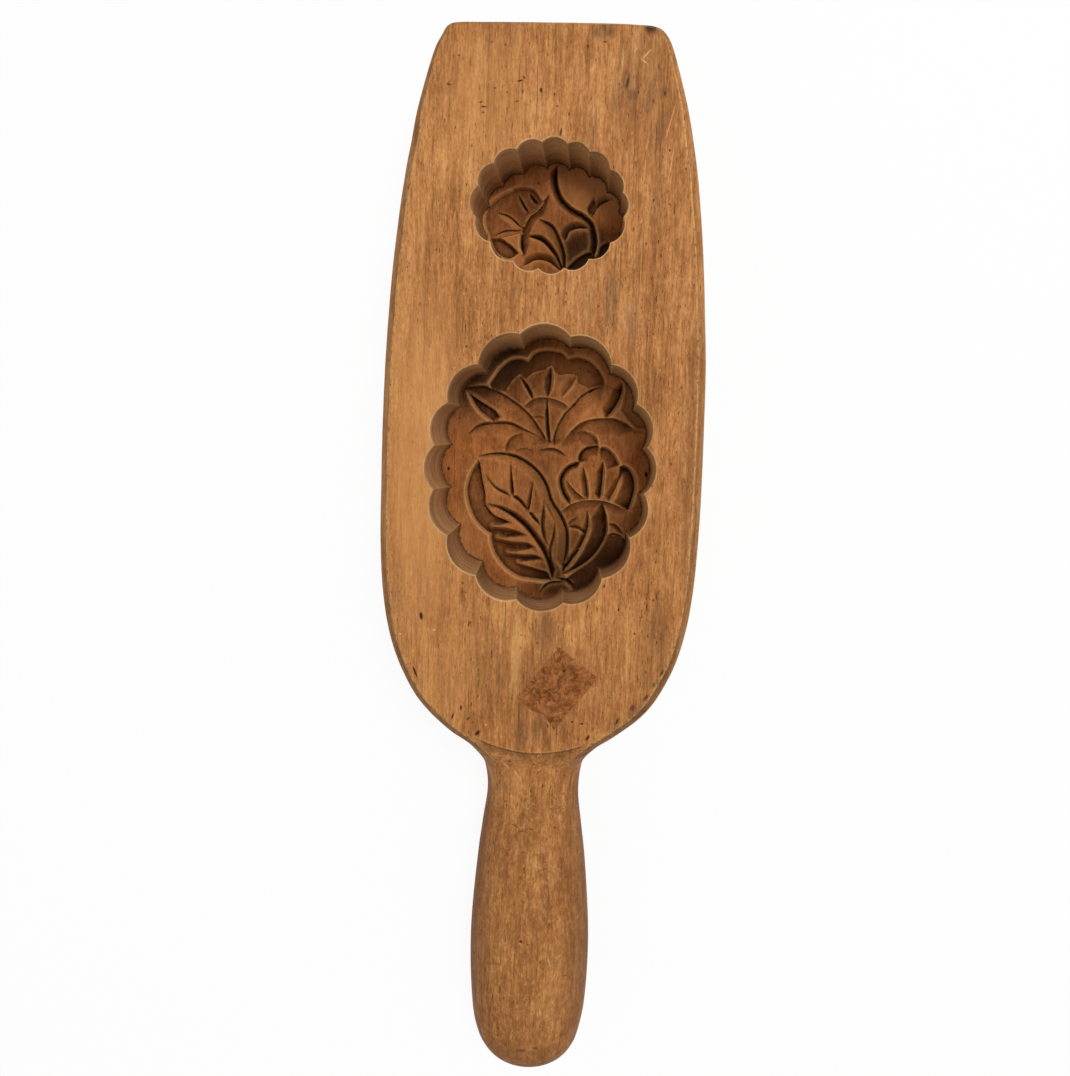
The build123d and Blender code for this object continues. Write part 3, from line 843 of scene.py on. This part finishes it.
def hollow_sides(shell, middle, rim_ridges, foot):
    """Rim and wall of one hollow. Returns its hole in the face and the lowest ring of the wall."""
    rim, ridge = scalloped(rim_ridges)
    outward = unit(rim)
    face_z = top_height(rim + middle)
    # How each part of a scallop turns against the hollow; one side of each scallop gets painted shade, the
    # other a painted highlight
    turned = outward[:, 0] - ring_run(rim)[:, 1]
    previous = None
    for offset, z, wear in RIM_RINGS:
        ring = rim + outward * offset + middle
        numbers = shell.add(at_height(ring, face_z + z - BOARD_THICKNESS), wear=wear)
        if previous is None:
            hole = (numbers, ring)
        else:
            shell.band(previous, numbers, OUTSIDE if offset > 0.4 else WALL)
        previous = numbers
    for z in WALL_LEVELS:
        down = (BOARD_THICKNESS - z) / (BOARD_THICKNESS - FLOOR_Z)
        ring = rim * (1 - down) + foot * down
        round_wall = at_height((np.arctan2(ring[:, 1], ring[:, 0]) * 30)[:, None], z)
        ripple = WALL_RIPPLE * soft_noise(round_wall, (6.0, 5.0), 31.0)
        ring = ring * (1 + ripple / np.linalg.norm(ring, axis=1))[:, None]
        # Painted light on the walls: lighter towards one side, darker at the foot and low on the top walls,
        # and painted shade and highlight across each scallop. The ridges between scallops are worn pale
        pale = clamp(outward @ LIT_WALL_SIDE - 0.1) * (1.0 - 0.6 * down)
        foot_shade = max(0.0, down - 0.8) * 3 + clamp(outward[:, 1]) * 0.5 * max(0.0, down - 0.4)
        wear = 0.5 * ridge + WALL_HIGHLIGHT * pale + clamp(-turned) * WALL_HIGHLIGHT
        shade = clamp(turned) * WALL_SHADE
        numbers = shell.add(at_height(ring + middle, z), wear=wear, grime=foot_shade, shade=shade)
        shell.band(previous, numbers, WALL)
        previous = numbers
    return hole, previous


def hollow(shell, middle, rim_ridges, foot_ridges, relief, grid):
    """Rim, wall and carved floor of one hollow. Returns the hole that it needs in the face."""
    middle = np.array(middle)
    foot, _ = scalloped(foot_ridges)
    hole, lowest = hollow_sides(shell, middle, rim_ridges, foot)
    border = foot * (1 - FLOOR_EDGE / np.linalg.norm(foot, axis=1))[:, None]
    # The edge of the floor, along the foot of the wall, has grime and painted shade
    numbers = shell.add(at_height(border + middle, relief.floor_z(border)), grime=1.0)
    shell.band(lowest, numbers, WALL)
    lines = relief.line_points(LINE_STEP)
    lines = thinned(lines[inside(border, lines)], border, 0.55 * LINE_STEP)
    fine = lattice(border, grid)
    coarse = lattice(border, COARSE * grid)
    fill = np.vstack([fine[relief.height(fine) < -FLAT_DEPTH], coarse[relief.height(coarse) >= -FLAT_DEPTH]])
    fill = thinned(fill[inside(border, fill)], np.vstack([border, lines]), grid * 0.62)
    inner = np.vstack([lines, fill])
    worn, sheltered = worn_and_sheltered(relief, border, inner)
    tone = relief.shape(inner)[1]
    # The slopes' tones go into the marks as painted highlight and painted shade, beside the worn edges and
    # the grime and painted shade of low places
    marks = {
        "wear": clamp(tone) + EDGE_MARK * worn,
        "grime": clamp(-tone) * DARK_TONE_MARK + EDGE_MARK * sheltered,
        "shade": relief.shade(inner),
    }
    shell.patch([(numbers, border + middle)], inner + middle, relief.floor_z(inner), FLOOR, **marks)
    return hole


def blurred(field, radius):
    """The field smoothed with a bell of the given radius in millimetres."""
    radius /= CELL
    reach = int(math.ceil(2.5 * radius))
    bell = np.exp(-0.5 * (np.arange(-reach, reach + 1) / radius) ** 2)
    bell /= bell.sum()
    for axis in (0, 1):
        padded = np.pad(field, [(reach, reach) if k == axis else (0, 0) for k in (0, 1)], mode="edge")
        field = np.apply_along_axis(lambda line: np.convolve(line, bell, mode="valid"), axis, padded)
    return field


def worn_and_sheltered(relief, border, q):
    """How much each point of the floor stands out and is worn, and how much it lies low and keeps grime and
    painted shade.
    """
    low = border.min(0) - 1
    high = border.max(0) + 1
    grid_x, grid_y = np.meshgrid(*[np.arange(low[k], high[k], CELL) for k in (0, 1)])
    height = relief.height(np.column_stack([grid_x.ravel(), grid_y.ravel()])).reshape(grid_x.shape)
    worn = clamp((height - blurred(height, WORN[0])) * WORN[1])
    sheltered = clamp((blurred(height, SHELTERED[0]) - height) * SHELTERED[1])
    at = (q - low) / CELL
    i, j = [np.clip(np.floor(at[:, k]).astype(int), 0, worn.shape[1 - k] - 2) for k in (1, 0)]
    v = at[:, 1] - i
    u = at[:, 0] - j
    corners = ((0, 0, (1 - u) * (1 - v)), (0, 1, u * (1 - v)), (1, 0, (1 - u) * v), (1, 1, u * v))
    return [sum(g[i + di, j + dj] * share for di, dj, share in corners) for g in (worn, sheltered)]


# Rows of points where the face ends above the handle: distance below it, paleness, darkness along the step
# and painted shade below it
FACE_END_ROWS = [
    (-0.6, 0.0, 0.0), (0.0, 0.38, 0.15), (0.4, 0.0, 0.75), (1.0, 0.0, 0.22), (2.2, 0.0, 0.20),
    (4.0, 0.0, 0.0),
]
FACE_END_SPAN = (-20.0, 22.1)
FINE_BELOW_Y = -50
FLAT_SPACING = 1.1


def face_end_points(border):
    """Points along the end of the face, and their wear and their darkness, which below the step is painted
    shade.
    """
    x = np.arange(*FACE_END_SPAN, 0.6)
    points = np.vstack([np.column_stack([x, face_end(x) - below]) for below, _, _ in FACE_END_ROWS])
    marks = np.vstack([np.full((len(x), 2), (pale, darkness)) for _, pale, darkness in FACE_END_ROWS])
    clear = inside(border, points)
    return points[clear], marks[clear]


def flat_points(border):
    """A grid over one side of the paddle, finer on the handle."""
    wide = lattice(border, 3.2)
    fine = lattice(border, 1.8)
    grid = np.vstack([wide[wide[:, 1] > FINE_BELOW_Y], fine[fine[:, 1] <= FINE_BELOW_Y]])
    return grid[inside(border, grid)]


def make_paddle():
    shell = Shell()
    face, back = paddle_sides(shell)
    holes = [hollow(shell, *LARGE_HOLLOW), hollow(shell, *SMALL_HOLLOW)]
    border = np.array([shell.points[n][:2] for n in face])
    loops = [(face, border)] + holes
    grid = flat_points(border)
    for _, hole in holes:
        grid = grid[~inside(hole, grid)]
    end, end_marks = face_end_points(border)
    grid = thinned(grid, np.vstack([ring for _, ring in loops] + [end]), FLAT_SPACING)
    inner = np.vstack([end, grid])
    wear, grime = np.vstack([end_marks, np.zeros((len(grid), 2))]).T
    shell.patch(loops, inner, top_height(inner), OUTSIDE, wear=wear, grime=grime)
    border = np.array([shell.points[n][:2] for n in back])
    inner = thinned(flat_points(border), border, FLAT_SPACING)
    shell.patch([(back, border)], inner, back_height(inner), OUTSIDE, upward=False)
    return shell


class Graph:
    """Builds the node tree of one material. Sizes are in millimetres."""

    def __init__(self, name, specular, roughness=0.6):
        self.material = bpy.data.materials.new(name)
        self.material.use_nodes = True
        self.tree = self.material.node_tree
        self.shader = self.tree.nodes["Principled BSDF"]
        self.shader.inputs["Roughness"].default_value = roughness
        self.shader.inputs["Specular IOR Level"].default_value = specular
        self.place = self.node("ShaderNodeTexCoord").outputs["Object"]

    def node(self, kind, inputs=(), **settings):
        node = self.tree.nodes.new(kind)
        for key, value in settings.items():
            setattr(node, key, value)
        for key, value in dict(inputs).items():
            if isinstance(value, bpy.types.NodeSocket):
                self.tree.links.new(value, node.inputs[key])
            else:
                node.inputs[key].default_value = value
        return node

    def math(self, operation, a, b=0.0, clamp=False):
        return self.node("ShaderNodeMath", {0: a, 1: b}, operation=operation, use_clamp=clamp).outputs[0]

    def times(self, a, b, clamp=False):
        return self.math("MULTIPLY", a, b, clamp)

    def xyz(self):
        return self.node("ShaderNodeSeparateXYZ", {"Vector": self.place}).outputs

    def scaled(self, size, offset=0.0, vector=None):
        """The place on the object, divided by a size in each direction."""
        return self.node("ShaderNodeMapping", {
            "Vector": vector or self.place,
            "Location": (offset, offset * 1.7, offset * 0.6),
            "Scale": [1.0 / (MM * length) for length in size],
        }).outputs[0]

    def noise(self, across, along, detail, rough, warp=0.0, offset=0.0, deep=None, vector=None):
        """Noise with one size along the paddle and another across it, or a third one in depth."""
        return self.node("ShaderNodeTexNoise", {
            "Vector": self.scaled((across, along, deep or across), offset, vector),
            "Scale": 1.0, "Detail": detail, "Roughness": rough, "Distortion": warp,
        }).outputs["Fac"]

    def spread(self, value, low, high, to_low=0.0, to_high=1.0):
        """Turns low..high into to_low..to_high, and holds what is outside."""
        return self.node("ShaderNodeMapRange", {
            "Value": value, "From Min": low, "From Max": high, "To Min": to_low, "To Max": to_high,
        }, interpolation_type="SMOOTHSTEP" if (to_low, to_high) == (0.0, 1.0) else "LINEAR").outputs[0]

    def patches(self, noise, *limits):
        """Noise with its contrast raised to separate patches."""
        return self.spread(self.noise(*noise), *limits)

    def blend(self, share, a, b):
        node = self.node("ShaderNodeMix", data_type="RGBA")
        for key, value in (("Factor_Float", share), ("A_Color", a), ("B_Color", b)):
            socket = next(s for s in node.inputs if s.identifier == key)
            if isinstance(value, bpy.types.NodeSocket):
                self.tree.links.new(value, socket)
            else:
                socket.default_value = (*value, 1.0)
        return next(s for s in node.outputs if s.identifier == "Result_Color")

    def paint(self, colour, layers):
        """Lays each (share, tint) over the colour."""
        for share, tint in layers:
            colour = self.blend(share, colour, tint)
        return colour

    def ramp(self, value, stops):
        node = self.node("ShaderNodeValToRGB", {"Fac": value})
        elements = node.color_ramp.elements
        while len(elements) < len(stops):
            elements.new(0.5)
        for element, (position, colour) in zip(elements, stops):
            element.position = position
            element.color = (*colour, 1.0)
        return node.outputs["Color"]

    def mark(self, name):
        return self.node("ShaderNodeAttribute", attribute_name=name).outputs["Fac"]

    def specks(self, across, along, radius, chance, offset):
        """Scattered round dots: about one per cell of the given size, where chance lets it."""
        place = self.scaled((across, along, across), offset)
        cells = self.node("ShaderNodeTexVoronoi", {"Vector": place, "Scale": 1.0}).outputs
        chosen = self.node("ShaderNodeSeparateColor", {"Color": cells["Color"]}).outputs[0]
        dot = self.spread(cells["Distance"], radius, radius * 0.45)
        return self.times(dot, self.math("LESS_THAN", chosen, chance))

    def spots(self, spots, z=BOARD_THICKNESS):
        """Soft spots at given places, as in the lists above."""
        total = None
        for x, y, half_width, half_length, strength, *turn in spots:
            near = self.node("ShaderNodeMapping", {
                "Vector": self.place,
                "Location": (x * MM, (y + MEASURED_FROM_Y) * MM, z * MM),
                "Rotation": (0.0, 0.0, math.radians(sum(turn))),
                "Scale": (half_width * MM, half_length * MM, SPOT_REACH * MM),
            }, vector_type="TEXTURE").outputs[0]
            ball = self.node("ShaderNodeTexGradient", {"Vector": near}, gradient_type="SPHERICAL")
            shape = self.spread(ball.outputs["Fac"], 0.0, 0.6, 0.0, strength)
            total = shape if total is None else self.math("MAXIMUM", total, shape)
        return total

    def rings(self):
        """Growth rings of the plank, round a line that runs along it far below the face."""
        wander = self.noise(60.0, 160.0, 1.0, 0.5, 0.0, 5.0)
        x, y, z = self.xyz()
        off_axis = [self.math("SUBTRACT", value, axis * MM) for value, axis in zip((x, z), RING_AXIS)]
        radius = self.math("SQRT", self.math("ADD", *[self.math("POWER", value, 2.0) for value in off_axis]))
        radius = self.math("ADD", radius, self.times(wander, RING_WANDER * MM))
        rolled = self.node("ShaderNodeCombineXYZ", {0: radius, 1: self.times(y, 0.004)}).outputs[0]
        return self.noise(RING_WIDTH, RING_WIDTH, 3.0, 0.55, vector=rolled)

    def finish(self, colour, height, depth):
        """Links the colour, and the height as a bump of the given depth."""
        bump = self.node("ShaderNodeBump", {"Height": height, "Strength": 1.0, "Distance": depth * MM})
        self.tree.links.new(colour, self.shader.inputs["Base Color"])
        self.tree.links.new(bump.outputs[0], self.shader.inputs["Normal"])
        return self.material


# Growth rings: x and z of their axis, how far they wander, and their width
RING_AXIS = (7.0, -52.0)
RING_WANDER = 22.0
RING_WIDTH = 2.6

# How far a spot reaches in depth, where the held handle begins and is full, and where the painted shade on
# its sides and end begins and is full, in mm
SPOT_REACH = 24.0
HELD_Y = (-58.0, -75.0)
SIDE_SHADE_X = (9.0, 19.5)
END_SHADE_Y = (-152.0, -172.0)

# Colours of wear and dirt, which also paint highlights and shade
PALE_EDGE_AND_HIGHLIGHT = (0.78, 0.46, 0.18)
PALE_FACE = (0.60, 0.275, 0.088)
PALE_WALL = (0.640, 0.385, 0.190)
PALE_CUT_AND_HIGHLIGHT = (0.700, 0.340, 0.125)
DIRT_AND_SHADE = (0.014, 0.005, 0.0015)
HOLE = (0.012, 0.004, 0.002)
PIT = (0.045, 0.018, 0.007)
SPECK = (0.06, 0.024, 0.009)
STAIN_AND_SHADE = (0.115, 0.052, 0.024)
HANDLED_AND_SHADE = (0.185, 0.070, 0.020)


def grain(g, streaks, fibres, mottle, clouds, rings):
    """Tone of the bare wood, about 0 to 1, with its grain along the paddle."""
    parts = (
        (streaks, (2.7, 27.0, 2.0, 0.55, 0.4)),
        (0.9 * streaks, (1.0, 12.0, 2.0, 0.6, 0.4, 19.0)),
        (0.35 * streaks, (5.0, 50.0, 2.0, 0.5, 0.3, 67.0)),
        (mottle, (4.0, 6.5, 3.0, 0.6, 0.8, 47.0)),
        (fibres, (0.45, 2.8, 2.0, 0.6, 0.2, 3.0)),
        (0.5 * fibres, (0.30, 1.0, 1.0, 0.5, 0.0, 13.0)),
        (0.4 * fibres, (0.8, 1.3, 2.0, 0.5, 0.3, 27.0)),
        (clouds, (15.0, 36.0, 2.0, 0.5, 0.4, 7.0)),
    )
    tone = 0.5 - 0.5 * (sum(amount for amount, _ in parts) + rings)
    for amount, pattern in parts:
        tone = g.math("ADD", tone, g.times(g.noise(*pattern), amount))
    return g.math("ADD", tone, g.times(g.rings(), rings))


def pore_lines(g):
    """Short dark pores in clusters, and long hairlines."""
    pore = g.patches((0.50, 2.4, 2.0, 0.6, 0.3, 11.0), 0.63, 0.72)
    pore = g.times(pore, g.patches((6.0, 14.0, 2.0, 0.6, 0.0, 43.0), 0.38, 0.58, 0.15, 1.0))
    hairline = g.patches((0.42, 19.0, 2.0, 0.5, 0.5, 59.0), 0.64, 0.73)
    return g.math("MAXIMUM", pore, g.times(hairline, 0.6))


def face_layers(g):
    """Marks of the face: paler areas, flecks, stains, pits and scratches; some of the paler areas and stains
    are painted light and shade.
    """
    patchy = g.patches((1.4, 9.0, 3.0, 0.6, 0.5, 17.0), 0.36, 0.62, 0.35, 1.0)
    return [
        (g.spots(PALE_AREAS), PALE_FACE),
        (g.times(g.specks(2.6, 5.0, 0.11, 0.30, 9.0), 0.35), PALE_EDGE_AND_HIGHLIGHT),
        (g.times(g.spots(SMUDGES_AND_SHADE), patchy), STAIN_AND_SHADE),
        (g.spots(PITS), PIT),
        (g.spots(SCRATCHES), PALE_EDGE_AND_HIGHLIGHT),
    ]


def handle_layers(g):
    """What hands left on the handle, mottling and pale curls, and painted shade on its sides and end."""
    x, y, _ = g.xyz()
    held = g.spread(y, *[MM * limit for limit in HELD_Y])
    mottled = g.patches((3.6, 5.5, 4.0, 0.62, 1.4, 37.0), 0.38, 0.66)
    curls = g.patches((2.2, 3.6, 3.0, 0.6, 2.2, 71.0), 0.57, 0.68)
    side = g.spread(g.math("ABSOLUTE", x), *[MM * limit for limit in SIDE_SHADE_X])
    end = g.spread(y, *[MM * limit for limit in END_SHADE_Y])
    return [
        (g.times(g.times(held, mottled), 0.5), HANDLED_AND_SHADE),
        (g.times(g.times(held, curls), 0.22), PALE_EDGE_AND_HIGHLIGHT),
        (g.times(g.math("MAXIMUM", g.times(held, side), end), 0.6), HANDLED_AND_SHADE),
    ]


def age_layers(g, floor, outside):
    """Painted shade and light, grime, and wear with painted highlights, where the mesh is marked for them."""
    shade = g.mark("shade")
    patchy = g.patches((1.3, 2.2, 3.0, 0.6, 0.0, 23.0), 0.25, 0.60, 0.7, 1.0)
    broken = g.patches((0.9, 1.5, 2.0, 0.6, 0.0, 29.0), 0.36, 0.60, 0.75 if floor else 0.3, 1.0)
    wear = g.times(g.mark("wear"), broken, clamp=True)
    # On a floor a shade mark below 0 is painted light
    layers = [(g.times(shade, -0.5, clamp=True), PALE_CUT_AND_HIGHLIGHT)] if floor else []
    layers += [
        (g.times(shade, 0.88, clamp=True), DIRT_AND_SHADE),
        (g.times(g.times(g.mark("grime"), patchy), 0.92, clamp=True), DIRT_AND_SHADE),
        (g.times(wear, 0.58 if floor else 0.75), PALE_CUT_AND_HIGHLIGHT if floor else PALE_EDGE_AND_HIGHLIGHT),
    ]
    if outside:
        nick = g.patches((0.8, 1.6, 1.0, 0.5, 0.0, 53.0), 0.60, 0.66)
        layers.append((g.times(g.times(nick, g.mark("wear"), clamp=True), 0.85), DIRT_AND_SHADE))
    return layers


def wood(name, dark, middle, light, grains, pores, shine, outside=False, arcs=0.0, floor=False):
    """Old honey-brown hardwood. grains are the shares of streaks, fibres, mottle, clouds and rings."""
    g = Graph(name, specular=shine)
    tone = grain(g, *grains)
    pore = pore_lines(g)
    layers = [
        (g.times(pore, pores), [c * 0.3 for c in dark]),
        (g.times(g.specks(5.0, 7.0, 0.09, 0.35, 2.0), 0.8), SPECK),
    ]
    if arcs:
        bands = g.patches((30.0, 34.0, 3.0, 0.65, 0.5, 41.0, 1.5), 0.40, 0.62)
        layers.append((g.times(bands, arcs), PALE_WALL))
    if outside:
        layers += face_layers(g) + handle_layers(g)
    if floor:
        layers.append((g.spots(WORMHOLES, FLOOR_Z), HOLE))
        layers.append((g.times(g.specks(3.4, 4.0, 0.10, 0.22, 9.0), 0.6), PALE_CUT_AND_HIGHLIGHT))
    layers += age_layers(g, floor, outside)
    colour = g.paint(g.ramp(tone, [(0.0, dark), (0.5, middle), (1.0, light)]), layers)
    g.tree.links.new(g.spread(tone, 0.3, 0.7, 0.68, 0.54), g.shader.inputs["Roughness"])
    return g.finish(colour, g.math("SUBTRACT", tone, g.times(pore, 0.6)), 0.10)


FLOWERS = Relief(LARGE_POCKETS, LARGE_SCOOPS, LARGE_VEINS, LARGE_SHADE)
BUDS = Relief(SMALL_POCKETS, SMALL_SCOOPS, SMALL_VEINS, SMALL_SHADE)
LARGE_HOLLOW = (LARGE_MIDDLE, LARGE_RIM, LARGE_FOOT, FLOWERS, 0.38)
SMALL_HOLLOW = (SMALL_MIDDLE, SMALL_RIM, SMALL_RIM, BUDS, 0.36)
WOODS = [
    wood("worn_wood", (0.200, 0.074, 0.021), (0.408, 0.162, 0.046), (0.625, 0.298, 0.099),
         grains=(0.90, 0.95, 0.42, 0.5, 0.5), pores=1.0, shine=0.12, outside=True),
    wood("wall_wood", (0.170, 0.070, 0.024), (0.415, 0.196, 0.080), (0.680, 0.385, 0.180),
         grains=(0.3, 0.7, 0.3, 1.2, 1.1), pores=0.5, shine=0.06, arcs=0.6),
    wood("floor_wood", (0.145, 0.042, 0.010), (0.325, 0.112, 0.031), (0.520, 0.206, 0.065),
         grains=(0.30, 0.70, 0.95, 1.0, 0.2), pores=0.7, shine=0.03, floor=True),
]

paddle = make_paddle().build("carved_paddle", WOODS)
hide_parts("mold_paddle")
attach(paddle, "root")

# Label, a diamond of paper torn at its lower left
LABEL_TOP, LABEL_RIGHT, LABEL_BOTTOM, LABEL_LEFT = (7.7, -17.8), (20.6, -27.3), (6.8, -45.2), (-5.5, -35.2)
LABEL_TEAR = [LABEL_BOTTOM, (3.2, -40.2), (1.4, -39.6), (-0.4, -39), (-2.4, -37.4), (-4.7, -36.2), LABEL_LEFT]
LABEL_PITS = [
    (9.6, -25.4, 0.6, 0.5, 0.8), (2, -36.2, 0.5, 0.9, 0.6, 20), (12, -37.5, 0.4, 1, 0.5, -40),
]
LABEL_EDGE_Z = 40.02
LABEL_Z = 40.11
TORN = 0.28
CRISP_SHARE = 0.3


def label_outline():
    """Crisp edges on three sides and a ragged one between the bottom and the left corner."""
    crisp = [LABEL_BOTTOM, LABEL_RIGHT, LABEL_TOP, LABEL_LEFT]
    steps = [np.linspace(a, b, 26)[:-1] for a, b in zip(crisp, crisp[1:])]
    torn = smooth_curve(LABEL_TEAR, 0.6)[::-1][:-1]
    outline = np.vstack(steps + [torn])
    rough = np.where(np.arange(len(outline)) < len(outline) - len(torn), CRISP_SHARE, 1.0)
    shift = np.column_stack([soft_noise(outline, (1.6, 1.6), seed) for seed in (51.0, 57.0)])
    return outline + TORN * rough[:, None] * shift


def make_label():
    shell = Shell()
    outline = label_outline()
    numbers = shell.add(at_height(outline, LABEL_EDGE_Z))
    inner = lattice(outline, 0.8)
    inner = thinned(inner[inside(outline, inner)], outline, 0.4)
    shell.patch([(numbers, outline)], inner, LABEL_Z + 0.05 * soft_noise(inner, (2.2, 2.2), 61.0), 0)
    return shell


def label_paper():
    """Brown varnished paper, wrinkled, and worn thin in honey-coloured spots."""
    g = Graph("aged_paper", specular=0.04)
    wrinkle = g.noise(2.6, 3.2, 4.0, 0.66, 1.3, 3.0)
    dark, middle, light = (0.125, 0.040, 0.011), (0.240, 0.083, 0.024), (0.400, 0.150, 0.046)
    colour = g.ramp(wrinkle, [(0.35, dark), (0.5, middle), (0.66, light)])
    bare = g.patches((2.4, 2.8, 3.0, 0.6, 1.2, 14.0), 0.57, 0.66)
    stained = g.patches((3.4, 3.4, 2.0, 0.6, 0.8, 33.0), 0.56, 0.68)
    colour = g.paint(colour, [
        (g.times(bare, 0.5), (0.440, 0.178, 0.054)),
        (g.times(stained, 0.45), (0.110, 0.034, 0.009)),
        (g.spots(LABEL_PITS), DIRT_AND_SHADE),
    ])
    return g.finish(colour, wrinkle, 0.15)


label = make_label().build("aged_label", [label_paper()])
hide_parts("paper_label_remnant")
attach(label, "root")


def stage_material():
    """A pale floor that the camera sees near white, with the object's soft shadow on it."""
    g = Graph("studio_floor", specular=0.2, roughness=0.9)
    g.shader.inputs["Base Color"].default_value = (0.85, 0.85, 0.85, 1.0)
    ray = g.node("ShaderNodeLightPath").outputs
    seen = g.math("MAXIMUM", ray["Is Camera Ray"], ray["Is Glossy Ray"])
    seen = g.math("MAXIMUM", seen, ray["Is Transmission Ray"])
    glow = g.node("ShaderNodeEmission", {"Color": (1.0, 1.0, 1.0, 1.0), "Strength": 1.0}).outputs[0]
    mixed = g.node("ShaderNodeMixShader", {0: g.times(seen, 0.93), 1: g.shader.outputs[0], 2: glow})
    g.tree.links.new(mixed.outputs[0], g.tree.nodes["Material Output"].inputs["Surface"])
    return g.material


# Floor and light
bpy.ops.mesh.primitive_plane_add(size=6.0)
floor = bpy.context.object
floor.name = "studio_floor"
floor.data.materials.append(stage_material())

world = bpy.data.worlds.new("studio")
bpy.context.scene.world = world
world.use_nodes = True
sky = world.node_tree.nodes["Background"].inputs
sky["Color"].default_value = (1.0, 1.0, 1.0, 1.0)
sky["Strength"].default_value = 0.52

KEY_PLACE = Vector((0.30, 0.42, 1.20))
KEY_TARGET = Vector((0.0, 0.0, 0.02))
key = bpy.data.lights.new("key", "AREA")
key.shape = "DISK"
key.size = 0.40
key.energy = 9.6
lamp = bpy.data.objects.new("key", key)
lamp.location = KEY_PLACE
lamp.rotation_euler = (KEY_TARGET - KEY_PLACE).to_track_quat("-Z", "Y").to_euler()
bpy.context.scene.collection.objects.link(lamp)

# Camera, fitted to the outline of the paddle in the photograph
CAMERA_PLACE = Vector((17.75, 51.75 + MEASURED_FROM_Y, 352.0)) * MM
CAMERA_AIM = Vector((-1.05, 17.41 + MEASURED_FROM_Y, 40.0)) * MM
CAMERA_UP = Vector((-0.0285, 0.9996, 0.0))
camera_data = bpy.data.cameras.new("photo_camera")
camera_data.lens = 33.0
camera_data.sensor_width = 36.0
camera_data.clip_start = 0.01
camera = bpy.data.objects.new("photo_camera", camera_data)
bpy.context.scene.collection.objects.link(camera)
forward = (CAMERA_AIM - CAMERA_PLACE).normalized()
side = forward.cross(CAMERA_UP).normalized()
turn = Matrix((side, side.cross(forward), -forward)).transposed().to_4x4()
camera.matrix_world = Matrix.Translation(CAMERA_PLACE) @ turn
bpy.context.scene.camera = camera
bpy.context.scene.view_settings.view_transform = "Standard"
